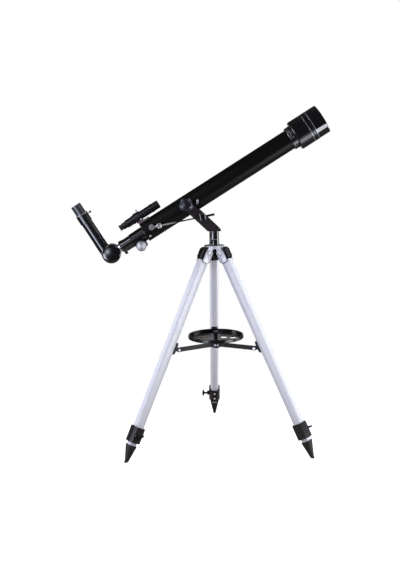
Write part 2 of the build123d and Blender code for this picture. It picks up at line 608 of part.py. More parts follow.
# Spreader hub: a drum with three slots from below, a pin across each slot and a stud on top
with BuildPart() as spreader_hub:
    post(Plane.XY, (0, 0), HUB_RADIUS, ARM_HEIGHT - HUB_BELOW, ARM_HEIGHT + HUB_TOP_ABOVE)
    slot_half = ARM_WIDTH / 2 + ARM_SIDE_GAP
    slot_start = HUB_PIN_CIRCLE - ARM_DEPTH / 2 - ARM_SIDE_GAP
    slot_low = ARM_HEIGHT - ARM_DEPTH * 2
    slot_high = ARM_HEIGHT + HUB_SLOT_ABOVE
    for leg in LEGS.values():
        slot = rectangle(slot_start, slot_low, HUB_RADIUS * 2, slot_high)
        prism(leg.radial, slot, -slot_half, slot_half, Mode.SUBTRACT)
    for leg in LEGS.values():
        pin_end = slot_half + HUB_PIN_RADIUS
        post(leg.radial, (HUB_PIN_CIRCLE, ARM_HEIGHT), HUB_PIN_RADIUS, -pin_end, pin_end)
    stud_end = TRAY_BOTTOM + HUB_STUD_HEIGHT
    post(Plane.XY, (0, 0), HUB_STUD_RADIUS, ARM_HEIGHT + HUB_TOP_ABOVE, stud_end)
keep(spreader_hub, "spreader_hub")

# Round accessory tray with a raised rim, a boss on the hub's stud and holes for eyepieces
with BuildPart() as tray:
    upright = Plane(origin=(0, 0, TRAY_BOTTOM), x_dir=(0, 0, 1), z_dir=(0, -1, 0))
    tray_outline = (
        (0, 0),
        (0, TRAY_RADIUS - TRAY_RIM / 2),
        (TRAY_RIM / 2, TRAY_RADIUS),
        (TRAY_HEIGHT - TRAY_RIM / 3, TRAY_RADIUS),
        (TRAY_HEIGHT, TRAY_RADIUS - TRAY_RIM / 3),
        (TRAY_HEIGHT, TRAY_RADIUS - 2 * TRAY_RIM / 3),
        (TRAY_HEIGHT - TRAY_RIM / 3, TRAY_RADIUS - TRAY_RIM),
        (TRAY_FLOOR, TRAY_RADIUS - TRAY_RIM),
        (TRAY_FLOOR, TRAY_BOSS_RADIUS),
        (TRAY_BOSS_HEIGHT, TRAY_BOSS_RADIUS),
        (TRAY_BOSS_HEIGHT, 0),
    )
    turn(upright, tray_outline)
    stud_room = HUB_STUD_RADIUS + RUNNING_GAP
    stud_room_top = TRAY_BOTTOM + HUB_STUD_HEIGHT + REST_GAP
    post(Plane.XY, (0, 0), stud_room, TRAY_BOTTOM, stud_room_top, Mode.SUBTRACT)
    for hole_x, hole_y, hole_radius in TRAY_HOLES:
        hole_top = TRAY_BOTTOM + TRAY_FLOOR
        post(Plane.XY, (hole_x, hole_y), hole_radius, TRAY_BOTTOM, hole_top, Mode.SUBTRACT)
keep(tray, "tray")

# Azimuth spindle: a shaft in the head's socket under a flange of the socket's own size
with BuildPart() as spindle:
    shaft_foot = SOCKET_TOP - SPINDLE_DEPTH + REST_GAP
    post(Plane.XY, (0, 0), SPINDLE_RADIUS, shaft_foot, SPINDLE_FOOT)
    post(Plane.XY, (0, 0), SOCKET_RADIUS, SPINDLE_FOOT, YOKE_BOTTOM)
keep(spindle, "spindle")

# Yoke: a base plate and two inclined arms, one on each side of the tube
ARM_SIDE = ARM_UP * (YOKE_ARM_WIDTH / 2)
ARM_FOOT_HALF = YOKE_ARM_WIDTH / 2 * ARM_LENGTH / YOKE_RISE
ARM_OUTLINE = (
    (ALTITUDE_X + ARM_SIDE.X, ALTITUDE_HEIGHT + ARM_SIDE.Z),
    (ALTITUDE_X - ARM_SIDE.X, ALTITUDE_HEIGHT - ARM_SIDE.Z),
    (YOKE_FOOT_X - ARM_FOOT_HALF, YOKE_BOTTOM),
    (YOKE_FOOT_X + ARM_FOOT_HALF, YOKE_BOTTOM),
)

with BuildPart() as yoke:
    base_top = YOKE_BOTTOM + YOKE_BASE_THICKNESS
    base_lean = YOKE_BASE_THICKNESS * ARM_RUN / YOKE_RISE
    base_outline = (
        (YOKE_FOOT_X - ARM_FOOT_HALF, YOKE_BOTTOM),
        (YOKE_FOOT_X + ARM_FOOT_HALF, YOKE_BOTTOM),
        (YOKE_FOOT_X + ARM_FOOT_HALF - base_lean, base_top),
        (YOKE_FOOT_X - ARM_FOOT_HALF - base_lean, base_top),
    )
    prism(SIDE, base_outline, -YOKE_OUTER_Y, YOKE_OUTER_Y)
    for low, high in ((YOKE_GAP / 2, YOKE_OUTER_Y), (-YOKE_OUTER_Y, -YOKE_GAP / 2)):
        prism(SIDE, ARM_OUTLINE, low, high)
        post(SIDE, (ALTITUDE_X, ALTITUDE_HEIGHT), YOKE_ARM_WIDTH / 2, low, high)
    screw_hole = ALTITUDE_SCREW_RADIUS + RUNNING_GAP
    altitude_place = (ALTITUDE_X, ALTITUDE_HEIGHT)
    post(SIDE, altitude_place, screw_hole, -YOKE_OUTER_Y, YOKE_OUTER_Y, Mode.SUBTRACT)
    pivot_hole = ROD_PIN_RADIUS + RUNNING_GAP
    post(SIDE, (ROD_GUIDE.X, ROD_GUIDE.Z), pivot_hole, 0, YOKE_OUTER_Y, Mode.SUBTRACT)
keep(yoke, "yoke")

# Dished washers under the altitude knobs
NEAR = Plane(origin=ALTITUDE, x_dir=(0, -1, 0), z_dir=(1, 0, 0))
FAR = Plane(origin=ALTITUDE, x_dir=(0, 1, 0), z_dir=(1, 0, 0))
WASHER_OUTLINE = (
    (YOKE_OUTER_Y, screw_hole),
    (YOKE_OUTER_Y, WASHER_RADIUS),
    (YOKE_OUTER_Y + WASHER_HEIGHT, ALTITUDE_KNOB_RADIUS - ALTITUDE_KNOB_EDGE),
    (YOKE_OUTER_Y + WASHER_HEIGHT, screw_hole),
)

with BuildPart() as altitude_washers:
    turn(NEAR, WASHER_OUTLINE)
    turn(FAR, WASHER_OUTLINE)
keep(altitude_washers, "altitude_washers")

# Altitude knobs: a domed round head and a screw into the trunnion pad
PAD_FACE = YOKE_GAP / 2 - REST_GAP
KNOB_FACE = YOKE_OUTER_Y + WASHER_HEIGHT + REST_GAP
KNOB_END = KNOB_FACE + ALTITUDE_KNOB_HEIGHT
KNOB_OUTLINE = (
    (TUBE_RADIUS + REST_GAP, 0),
    (TUBE_RADIUS + REST_GAP, ALTITUDE_SCREW_RADIUS),
    (KNOB_FACE, ALTITUDE_SCREW_RADIUS),
    (KNOB_FACE, ALTITUDE_KNOB_RADIUS - ALTITUDE_KNOB_EDGE),
    (KNOB_FACE + ALTITUDE_KNOB_EDGE, ALTITUDE_KNOB_RADIUS),
    (KNOB_END - ALTITUDE_KNOB_DOME, ALTITUDE_KNOB_RADIUS),
    (KNOB_END - ALTITUDE_KNOB_DOME * 0.4, ALTITUDE_KNOB_RADIUS * 0.88),
    (KNOB_END - ALTITUDE_KNOB_DOME * 0.1, ALTITUDE_KNOB_RADIUS * 0.62),
    (KNOB_END, 0),
)

with BuildPart() as altitude_knob_near:
    turn(NEAR, KNOB_OUTLINE)
keep(altitude_knob_near, "altitude_knob_near")

with BuildPart() as altitude_knob_far:
    turn(FAR, KNOB_OUTLINE)
keep(altitude_knob_far, "altitude_knob_far")

# Trunnion pads on both sides of the tube, seated on its round wall
with BuildPart() as trunnion_pads:
    post(OTA, (0, TUBE_DROP), PAD_RADIUS, TUBE_RADIUS - PAD_SINK, PAD_FACE)
    post(OTA, (0, TUBE_DROP), PAD_RADIUS, -PAD_FACE, PAD_SINK - TUBE_RADIUS)
    turn(OTA, ring(TUBE_REAR, TUBE_FRONT, 0, TUBE_RADIUS), Mode.SUBTRACT)
    post(OTA, (0, TUBE_DROP), ALTITUDE_SCREW_RADIUS + RUNNING_GAP, -PAD_FACE, PAD_FACE, Mode.SUBTRACT)
keep(trunnion_pads, "trunnion_pads")

# Main tube
with BuildPart() as main_tube:
    turn(OTA, ring(TUBE_REAR, TUBE_FRONT, TUBE_RADIUS - TUBE_WALL, TUBE_RADIUS))
keep(main_tube, "main_tube")

# Lens cell: a spigot in the tube's front end, a stop and a seat for the objective
CELL_FRONT = TUBE_FRONT + CELL_LENGTH
DEW_FRONT = CELL_FRONT + DEW_LENGTH
LENS_BACK = CELL_FRONT - LENS_STACK
with BuildPart() as lens_cell:
    cell_outline = (
        (TUBE_FRONT - CELL_SPIGOT, CELL_STOP_RADIUS),
        (TUBE_FRONT - CELL_SPIGOT, TUBE_RADIUS - TUBE_WALL - RUNNING_GAP),
        (TUBE_FRONT, TUBE_RADIUS - TUBE_WALL - RUNNING_GAP),
        (TUBE_FRONT, CELL_RADIUS - EDGE),
        (TUBE_FRONT + EDGE, CELL_RADIUS),
        (CELL_FRONT, CELL_RADIUS),
        (CELL_FRONT, LENS_RADIUS + RUNNING_GAP),
        (LENS_BACK, LENS_RADIUS + RUNNING_GAP),
        (LENS_BACK, CELL_STOP_RADIUS),
    )
    turn(OTA, cell_outline)
keep(lens_cell, "lens_cell")

# Objective: crown in front of flint
with BuildPart() as objective_lens:
    crown_back = CELL_FRONT - CROWN_THICKNESS
    turn(OTA, ring(LENS_BACK, crown_back - RUNNING_GAP, 0, LENS_RADIUS))
    turn(OTA, ring(crown_back, CELL_FRONT, 0, LENS_RADIUS))
keep(objective_lens, "objective_lens")

# Dew shield: an open drum on the front of the cell, with a bevelled rear rim
with BuildPart() as dew_shield:
    dew_outline = (
        (CELL_FRONT, LENS_RADIUS - LENS_LIP),
        (CELL_FRONT, DEW_RADIUS - DEW_BEVEL),
        (CELL_FRONT + DEW_BEVEL, DEW_RADIUS),
        (DEW_FRONT - DEW_WALL, DEW_RADIUS),
        (DEW_FRONT, DEW_RADIUS - DEW_WALL / 2),
        (DEW_FRONT, DEW_RADIUS - DEW_WALL),
        (CELL_FRONT + DEW_BACK_WALL, DEW_RADIUS - DEW_WALL),
        (CELL_FRONT + DEW_BACK_WALL, LENS_RADIUS - LENS_LIP),
    )
    turn(OTA, dew_outline)
keep(dew_shield, "dew_shield")

# Focuser housing: a spigot in the tube's rear end, a neck and the pinion's block
PINION_PITCH_RADIUS = GEAR_MODULE * PINION_TEETH / 2
PINION_DROP = RACK_PITCH_LINE + PINION_PITCH_RADIUS
HOUSING_REAR = TUBE_REAR - FOCUSER_FLANGE - FOCUSER_LENGTH
DRAW_BORE = DRAWTUBE_RADIUS + RUNNING_GAP
RACK_TIP = RACK_PITCH_LINE + TOOTH_ROOT
with BuildPart() as focuser_housing:
    housing_outline = (
        (TUBE_REAR + FOCUSER_SPIGOT, 0),
        (TUBE_REAR + FOCUSER_SPIGOT, TUBE_RADIUS - TUBE_WALL - RUNNING_GAP),
        (TUBE_REAR, TUBE_RADIUS - TUBE_WALL - RUNNING_GAP),
        (TUBE_REAR, TUBE_RADIUS + FOCUSER_LIP),
        (TUBE_REAR - FOCUSER_FLANGE, TUBE_RADIUS + FOCUSER_LIP - FINE_EDGE),
        (TUBE_REAR - FOCUSER_FLANGE, FOCUSER_RADIUS + HOUSING_LIP),
        (HOUSING_REAR + HOUSING_LIP, FOCUSER_RADIUS),
        (HOUSING_REAR, FOCUSER_RADIUS - HOUSING_LIP),
        (HOUSING_REAR, 0),
    )
    turn(OTA, housing_outline)
    block_outline = rectangle(
        PINION_ALONG - PINION_BLOCK_HALF_LENGTH,
        -PINION_DROP - PINION_BLOCK_BELOW,
        PINION_ALONG + PINION_BLOCK_HALF_LENGTH,
        -FOCUSER_RADIUS / 2,
    )
    prism(OTA, block_outline, -PINION_BLOCK_HALF_WIDTH, PINION_BLOCK_HALF_WIDTH)
    block_edges = focuser_housing.edges().filter_by(Axis.Y)
    fillet(block_edges.sort_by(Axis.Z)[:2], radius=PINION_BLOCK_ROUND)
    cover = rectangle(HOUSING_REAR, -RACK_TIP - RACK_COVER_WALL, TUBE_REAR, -FOCUSER_RADIUS / 2)
    cover_half = RACK_WIDTH / 2 + SLIDE_GAP + RACK_COVER_WALL
    prism(OTA, cover, -cover_half, cover_half)
    spigot_front = TUBE_REAR + FOCUSER_SPIGOT
    turn(OTA, ring(HOUSING_REAR, spigot_front, 0, DRAW_BORE), Mode.SUBTRACT)
    rack_room = rectangle(HOUSING_REAR, -RACK_TIP, spigot_front, 0)
    rack_half = RACK_WIDTH / 2 + SLIDE_GAP
    prism(OTA, rack_room, -rack_half, rack_half, Mode.SUBTRACT)
    gear_room = PINION_PITCH_RADIUS + TOOTH_RISE + SLIDE_GAP
    post(OTA, (PINION_ALONG, -PINION_DROP), gear_room, -rack_half, rack_half, Mode.SUBTRACT)
    shaft_hole = PINION_SHAFT_RADIUS + RUNNING_GAP
    shaft_place = (PINION_ALONG, -PINION_DROP)
    post(OTA, shaft_place, shaft_hole, -PINION_BLOCK_HALF_WIDTH, PINION_BLOCK_HALF_WIDTH, Mode.SUBTRACT)
keep(focuser_housing, "focuser_housing")

# Drawtube with a lipped rear end, a bore for the diagonal's nose and a rack underneath
TOOTH_PITCH = pi * GEAR_MODULE
RACK_ROOT = RACK_PITCH_LINE - TOOTH_ROOT
RACK_HALF = RACK_TEETH * TOOTH_PITCH / 2
DRAWTUBE_FRONT = DRAWTUBE_REAR + DRAWTUBE_LENGTH
DRAW_SCREW_ALONG = DRAWTUBE_REAR + DRAWTUBE_SCREW_FROM_END


def tooth(centre, pitch_line, sign):
    """A straight-sided tooth about a pitch line, pointing to sign times y."""
    root = TOOTH_HALF + TOOTH_ROOT * TOOTH_SLOPE
    tip = TOOTH_HALF - TOOTH_RISE * TOOTH_SLOPE
    foot_y = pitch_line - sign * (TOOTH_ROOT + TOOTH_SINK)
    tip_y = pitch_line + sign * TOOTH_RISE
    return ((centre - root, foot_y), (centre + root, foot_y), (centre + tip, tip_y), (centre - tip, tip_y))


with BuildPart() as drawtube:
    draw_outline = (
        (DRAWTUBE_REAR, 0),
        (DRAWTUBE_REAR, DRAWTUBE_RADIUS + DRAWTUBE_LIP - FINE_EDGE),
        (DRAWTUBE_REAR + FINE_EDGE, DRAWTUBE_RADIUS + DRAWTUBE_LIP),
        (DRAWTUBE_REAR + DRAWTUBE_LIP_LENGTH, DRAWTUBE_RADIUS + DRAWTUBE_LIP),
        (DRAWTUBE_REAR + DRAWTUBE_LIP_LENGTH, DRAWTUBE_RADIUS),
        (DRAWTUBE_FRONT, DRAWTUBE_RADIUS),
        (DRAWTUBE_FRONT, 0),
    )
    turn(OTA, draw_outline)
    rack_top = RACK_SINK - DRAWTUBE_RADIUS
    rack_bar = rectangle(PINION_ALONG - RACK_HALF, -RACK_ROOT, PINION_ALONG + RACK_HALF, rack_top)
    prism(OTA, rack_bar, -RACK_WIDTH / 2, RACK_WIDTH / 2)
    for count in range(RACK_TEETH):
        centre = PINION_ALONG - RACK_HALF + (count + 0.5) * TOOTH_PITCH
        prism(OTA, tooth(centre, -RACK_PITCH_LINE, -1), -RACK_WIDTH / 2, RACK_WIDTH / 2)
    nose_room = BARREL_RADIUS + RUNNING_GAP
    turn(OTA, ring(DRAWTUBE_REAR, DRAWTUBE_REAR + BARREL_DEPTH, 0, nose_room), Mode.SUBTRACT)
    turn(OTA, ring(DRAWTUBE_REAR + BARREL_DEPTH, DRAWTUBE_FRONT, 0, DRAWTUBE_BORE), Mode.SUBTRACT)
    below = Plane(origin=OTA.from_local_coords((DRAW_SCREW_ALONG, 0, 0)), x_dir=TUBE_AXIS, z_dir=-OTA.y_dir)
    post(below, (0, 0), SET_SCREW_RADIUS + RUNNING_GAP, 0, DRAWTUBE_RADIUS * 2, Mode.SUBTRACT)
keep(drawtube, "drawtube")

# Thumbscrew under the drawtube's end
DRAW_SCREW_FACE = DRAWTUBE_RADIUS + DRAWTUBE_LIP + REST_GAP
with BuildPart() as drawtube_thumbscrew:
    head_end = DRAW_SCREW_FACE + SET_SCREW_HEAD_HEIGHT
    post(below, (0, 0), SET_SCREW_RADIUS, BARREL_RADIUS + REST_GAP, head_end)
    post(below, (0, 0), SET_SCREW_HEAD_RADIUS, DRAW_SCREW_FACE, head_end)
keep(drawtube_thumbscrew, "drawtube_thumbscrew")

# Focus pinion with its shaft
PINION_ROOT = PINION_PITCH_RADIUS - TOOTH_ROOT
KNOB_OUTER = FOCUS_KNOB_INNER + FOCUS_KNOB_WIDTH
with BuildPart() as focus_pinion:
    post(OTA, shaft_place, PINION_SHAFT_RADIUS, -KNOB_OUTER + EDGE, KNOB_OUTER - EDGE)
    post(OTA, shaft_place, PINION_ROOT, -PINION_WIDTH / 2, PINION_WIDTH / 2)
    gear_plane = Plane(
        origin=OTA.from_local_coords((PINION_ALONG, -PINION_DROP, 0)), x_dir=TUBE_AXIS, z_dir=OTA.z_dir
    )
    for count in range(PINION_TEETH):
        tooth_turn = TILT + count * 2 * pi / PINION_TEETH
        tooth_axis = (cos(tooth_turn), 0, sin(tooth_turn))
        tooth_plane = Plane(origin=gear_plane.origin, x_dir=tooth_axis, z_dir=OTA.z_dir)
        prism(tooth_plane, tooth(0, PINION_PITCH_RADIUS, 1), -PINION_WIDTH / 2, PINION_WIDTH / 2)
keep(focus_pinion, "focus_pinion")

# Two turned focus knobs on the ends of the pinion's shaft
with BuildPart() as focus_knobs:
    for sign in (1, -1):
        knob_axis = Plane(origin=gear_plane.origin, x_dir=(0, -sign, 0), z_dir=(0, 0, 1))
        knob_outline = (
            (PINION_BLOCK_HALF_WIDTH + REST_GAP, PINION_SHAFT_RADIUS),
            (PINION_BLOCK_HALF_WIDTH + REST_GAP, FOCUS_KNOB_RADIUS / 2),
            (FOCUS_KNOB_INNER, FOCUS_KNOB_RADIUS / 2),
            (FOCUS_KNOB_INNER, FOCUS_KNOB_RADIUS - EDGE),
            (FOCUS_KNOB_INNER + EDGE, FOCUS_KNOB_RADIUS),
            (KNOB_OUTER - EDGE, FOCUS_KNOB_RADIUS),
            (KNOB_OUTER, FOCUS_KNOB_RADIUS - EDGE),
            (KNOB_OUTER, 0),
            (KNOB_OUTER - EDGE, 0),
            (KNOB_OUTER - EDGE, PINION_SHAFT_RADIUS),
        )
        turn(knob_axis, knob_outline)
keep(focus_knobs, "focus_knobs")

# Diagonal: a round drum with domed faces, hollow round a mirror seat, and a stub for the eyepiece end
ACROSS = Plane(origin=DRUM_CENTRE, x_dir=(0, -1, 0), z_dir=(1, 0, 0))
MIRROR_TILT = (TILT + EYE_TILT) / 2
MIRROR_NORMAL = Vector(cos(MIRROR_TILT), 0, sin(MIRROR_TILT))
MIRROR = Plane(origin=EYE_FOOT, x_dir=(0, 1, 0), z_dir=MIRROR_NORMAL)
NOSE = Plane(origin=DRUM_CENTRE, x_dir=TUBE_AXIS, z_dir=(0, -1, 0))
HOLLOW_RADIUS = DRUM_RADIUS - DRUM_WALL
NOSE_START = HOLLOW_RADIUS - EDGE
BARREL_ROOM = BARREL_RADIUS + RUNNING_GAP
with BuildPart() as diagonal_body:
    drum_end = DRUM_HALF_WIDTH + DRUM_DOME
    drum_outline = (
        (-drum_end, 0),
        (-drum_end + DRUM_DOME * 0.13, DRUM_RADIUS * 0.45),
        (-drum_end + DRUM_DOME * 0.43, DRUM_RADIUS * 0.75),
        (-DRUM_HALF_WIDTH - DRUM_DOME * 0.13, DRUM_RADIUS * 0.96),
        (-DRUM_HALF_WIDTH, DRUM_RADIUS),
        (DRUM_HALF_WIDTH, DRUM_RADIUS),
        (DRUM_HALF_WIDTH + DRUM_DOME * 0.13, DRUM_RADIUS * 0.96),
        (drum_end - DRUM_DOME * 0.43, DRUM_RADIUS * 0.75),
        (drum_end - DRUM_DOME * 0.13, DRUM_RADIUS * 0.45),
        (drum_end, 0),
    )
    turn(ACROSS, drum_outline)
    hollow = ring(-DRUM_HALF_WIDTH, DRUM_HALF_WIDTH, 0, HOLLOW_RADIUS)
    turn(ACROSS, hollow, Mode.SUBTRACT)
    seat_face = -MIRROR_THICKNESS - RUNNING_GAP
    post(MIRROR, (0, 0), MIRROR_SEAT_RADIUS, -DRUM_RADIUS * 2, seat_face)
    turn(ACROSS, drum_outline, Mode.INTERSECT)
    turn(EYE, ring(0, STUB_END, BARREL_ROOM, STUB_RADIUS))
    turn(EYE, ring(0, STUB_END, 0, BARREL_ROOM), Mode.SUBTRACT)
    turn(NOSE, ring(0, DRUM_RADIUS * 2, 0, BARREL_RADIUS), Mode.SUBTRACT)
keep(diagonal_body, "diagonal_body")

# Chrome nose that goes into the drawtube
with BuildPart() as diagonal_nose:
    turn(NOSE, ring(NOSE_START, NOSE_START + NOSE_LENGTH, BARREL_RADIUS - BARREL_WALL, BARREL_RADIUS))
keep(diagonal_nose, "diagonal_nose")

# Mirror on its seat in the drum
with BuildPart() as diagonal_mirror:
    mirror_half = MIRROR_SHARE * BARREL_RADIUS
    mirror_outline = rectangle(-mirror_half, -mirror_half, mirror_half, mirror_half)
    prism(MIRROR, mirror_outline, -MIRROR_THICKNESS, 0)
keep(diagonal_mirror, "diagonal_mirror")

# Barlow: a barrel in the stub, a long body and a collar that holds the eyepiece
SCREW_SIDE = Plane(origin=EYE.from_local_coords((BARLOW_SCREW_AT, 0, 0)), x_dir=EYE.x_dir, z_dir=-EYE.y_dir)
with BuildPart() as barlow_tube:
    barlow_outline = (
        (STUB_END - BARLOW_BARREL, BARLOW_BORE),
        (STUB_END - BARLOW_BARREL, BARREL_RADIUS),
        (STUB_END + REST_GAP, BARREL_RADIUS),
        (STUB_END + REST_GAP, BARLOW_RADIUS - FINE_EDGE),
        (STUB_END + REST_GAP + FINE_EDGE, BARLOW_RADIUS),
        (BARLOW_END, BARLOW_RADIUS),
        (BARLOW_END + EDGE, COLLAR_RADIUS),
        (COLLAR_TOP - EDGE, COLLAR_RADIUS),
        (COLLAR_TOP, COLLAR_RADIUS - EDGE),
        (COLLAR_TOP, BARREL_ROOM),
        (COLLAR_TOP - EYEPIECE_BARREL - REST_GAP, BARREL_ROOM),
        (COLLAR_TOP - EYEPIECE_BARREL - REST_GAP, BARLOW_BORE),
    )
    turn(EYE, barlow_outline)
    post(SCREW_SIDE, (0, 0), SET_SCREW_RADIUS + RUNNING_GAP, 0, COLLAR_RADIUS * 2, Mode.SUBTRACT)
keep(barlow_tube, "barlow_tube")

with BuildPart() as barlow_lens:
    lens_end = BARLOW_LENS_AT + BARLOW_LENS_THICKNESS
    turn(EYE, ring(BARLOW_LENS_AT, lens_end, 0, BARLOW_BORE - RUNNING_GAP))
keep(barlow_lens, "barlow_lens")

# Thumbscrew on the Barlow's collar
with BuildPart() as barlow_thumbscrew:
    screw_face = COLLAR_RADIUS + BARLOW_SCREW_STEM
    screw_end = screw_face + BARLOW_SCREW_HEAD_HEIGHT
    post(SCREW_SIDE, (0, 0), SET_SCREW_RADIUS, BARREL_RADIUS + REST_GAP, screw_end)
    post(SCREW_SIDE, (0, 0), BARLOW_SCREW_HEAD_RADIUS, screw_face, screw_end)
keep(barlow_thumbscrew, "barlow_thumbscrew")

# Eyepiece: a barrel in the collar and a head with its lenses
EYEPIECE_SHOULDER = COLLAR_TOP + REST_GAP
with BuildPart() as eyepiece_body:
    eyepiece_outline = (
        (COLLAR_TOP - EYEPIECE_BARREL, EYEPIECE_BORE),
        (COLLAR_TOP - EYEPIECE_BARREL, BARREL_RADIUS),
        (EYEPIECE_SHOULDER, BARREL_RADIUS),
        (EYEPIECE_SHOULDER, EYEPIECE_BAND_RADIUS),
        (EYEPIECE_SHOULDER + EYEPIECE_BAND, EYEPIECE_BAND_RADIUS),
        (EYEPIECE_SHOULDER + EYEPIECE_BAND + EDGE, EYEPIECE_RADIUS),
        (EYEPIECE_TOP - EDGE, EYEPIECE_RADIUS),
        (EYEPIECE_TOP, EYEPIECE_RADIUS - EDGE),
        (EYEPIECE_TOP, EYEPIECE_BORE),
    )
    turn(EYE, eyepiece_outline)
keep(eyepiece_body, "eyepiece_body")

with BuildPart() as eyepiece_lenses:
    lens_fit = EYEPIECE_BORE - RUNNING_GAP
    eye_lens_top = EYEPIECE_TOP - EYE_LENS_SINK
    turn(EYE, ring(eye_lens_top - EYE_LENS_THICKNESS, eye_lens_top, 0, lens_fit))
    field_lens_low = COLLAR_TOP - EYEPIECE_BARREL / 2
    turn(EYE, ring(field_lens_low, field_lens_low + EYE_LENS_THICKNESS, 0, lens_fit))
keep(eyepiece_lenses, "eyepiece_lenses")

# Finder: flared eyecup, neck, body with two rings, and a lens at each end
with BuildPart() as finder_tube:
    finder_outline = (
        (0, FINDER_EYE_BORE),
        (0, FINDER_EYE_RADIUS),
        (FINDER_CUP_END, FINDER_NECK_RADIUS),
        (FINDER_NECK_END, FINDER_NECK_RADIUS),
        (FINDER_NECK_END + EDGE, FINDER_EYE_RADIUS),
        (FINDER_EYE_END, FINDER_EYE_RADIUS),
        (FINDER_CONE_END, FINDER_RADIUS),
        (FINDER_FLANGE_AT, FINDER_RADIUS),
        (FINDER_FLANGE_AT, FINDER_RING_RADIUS),
        (FINDER_FLANGE_AT + FINDER_RING_WIDTH, FINDER_RING_RADIUS),
        (FINDER_FLANGE_AT + FINDER_RING_WIDTH, FINDER_RADIUS),
        (FINDER_RING_AT, FINDER_RADIUS),
        (FINDER_RING_AT, FINDER_RING_RADIUS),
        (FINDER_RING_AT + FINDER_RING_WIDTH, FINDER_RING_RADIUS),
        (FINDER_RING_AT + FINDER_RING_WIDTH, FINDER_RADIUS),
        (FINDER_LENGTH - EDGE, FINDER_RADIUS),
        (FINDER_LENGTH, FINDER_RADIUS - EDGE),
        (FINDER_LENGTH, FINDER_BORE),
        (FINDER_EYE_DEPTH, FINDER_BORE),
        (FINDER_EYE_DEPTH, FINDER_EYE_BORE),
    )
    turn(FINDER, finder_outline)
keep(finder_tube, "finder_tube")

with BuildPart() as finder_lenses:
    front_lens = FINDER_LENGTH - FINDER_LENS_FROM_FRONT
    eye_lens = FINDER_EYE_LENS_AT
    turn(FINDER, ring(front_lens, front_lens + FINDER_LENS_THICKNESS, 0, FINDER_BORE - RUNNING_GAP))
    turn(FINDER, ring(eye_lens, eye_lens + FINDER_LENS_THICKNESS, 0, FINDER_EYE_BORE - RUNNING_GAP))
keep(finder_lenses, "finder_lenses")

# Finder bracket: a ring on a stalk, on a foot that follows the tube's round wall
with BuildPart() as finder_bracket:
    ring_low = BRACKET_RING_START - FINDER_REAR
    ring_high = BRACKET_RING_END - FINDER_REAR
    turn(FINDER, ring(ring_low, ring_high, 0, BRACKET_RING_RADIUS))
    foot_top = TUBE_RADIUS + BRACKET_FOOT_HEIGHT
    foot_outline = rectangle(BRACKET_FOOT_START, TUBE_RADIUS / 2, BRACKET_FOOT_END, foot_top)
    prism(OTA, foot_outline, -BRACKET_FOOT_HALF_WIDTH, BRACKET_FOOT_HALF_WIDTH)
    stalk_top = FINDER_ABOVE - FINDER_RADIUS
    stalk_low = TUBE_RADIUS + FOCUSER_LIP + SLIDE_GAP
    stalk = rectangle(BRACKET_RING_START, stalk_low, BRACKET_RING_END, stalk_top)
    prism(OTA, stalk, -BRACKET_STALK_HALF_WIDTH, BRACKET_STALK_HALF_WIDTH)
    turn(FINDER, ring(ring_low, ring_high, 0, FINDER_RADIUS + RUNNING_GAP), Mode.SUBTRACT)
    turn(OTA, ring(TUBE_REAR, TUBE_FRONT, 0, TUBE_RADIUS), Mode.SUBTRACT)
keep(finder_bracket, "finder_bracket")

# Post on the tube's near side that carries the slow-motion rod's eye
ROD_DEPTH = -ROD_PLANE_Y
EYE_BACK = ROD_DEPTH - ROD_EYE_HALF_WIDTH
EYE_FRONT = ROD_DEPTH + ROD_EYE_HALF_WIDTH
rod_pivot_place = (ROD_PIVOT_ALONG, TUBE_DROP)
with BuildPart() as rod_pivot:
    post(OTA, rod_pivot_place, ROD_POST_RADIUS, TUBE_RADIUS - PAD_SINK, EYE_BACK - REST_GAP)
    post(OTA, rod_pivot_place, ROD_PIN_RADIUS, EYE_BACK - REST_GAP, EYE_FRONT + REST_GAP)
    post_end = EYE_FRONT + REST_GAP + ROD_POST_CAP_HEIGHT
    post(OTA, rod_pivot_place, ROD_POST_CAP_RADIUS, EYE_FRONT + REST_GAP, post_end)
    turn(OTA, ring(TUBE_REAR, TUBE_FRONT, 0, TUBE_RADIUS), Mode.SUBTRACT)
keep(rod_pivot, "rod_pivot")

# Slow-motion rod: an eye on the post, a round nut beside it and a long thin rod
ROD_END = ROD_SPAN + ROD_OVERRUN
with BuildPart() as slow_motion_rod:
    post(ROD, (0, 0), ROD_EYE_RADIUS, -ROD_EYE_HALF_WIDTH, ROD_EYE_HALF_WIDTH)
    nut_low = ROD_NUT_AT - ROD_NUT_HALF_LENGTH
    nut_high = ROD_NUT_AT + ROD_NUT_HALF_LENGTH
    rod_outline = (
        (ROD_PIN_RADIUS * 2, 0),
        (ROD_PIN_RADIUS * 2, ROD_NECK_RADIUS),
        (nut_low, ROD_NECK_RADIUS),
        (nut_low, ROD_NUT_RADIUS - EDGE),
        (nut_low + EDGE, ROD_NUT_RADIUS),
        (nut_high - EDGE, ROD_NUT_RADIUS),
        (nut_high, ROD_NUT_RADIUS - EDGE),
        (nut_high, ROD_RADIUS),
        (ROD_END - EDGE, ROD_RADIUS),
        (ROD_END - EDGE, 0),
    )
    turn(ROD, rod_outline)
    eye_hole = ROD_PIN_RADIUS + RUNNING_GAP
    post(ROD, (0, 0), eye_hole, -ROD_EYE_RADIUS, ROD_EYE_RADIUS, Mode.SUBTRACT)
keep(slow_motion_rod, "slow_motion_rod")

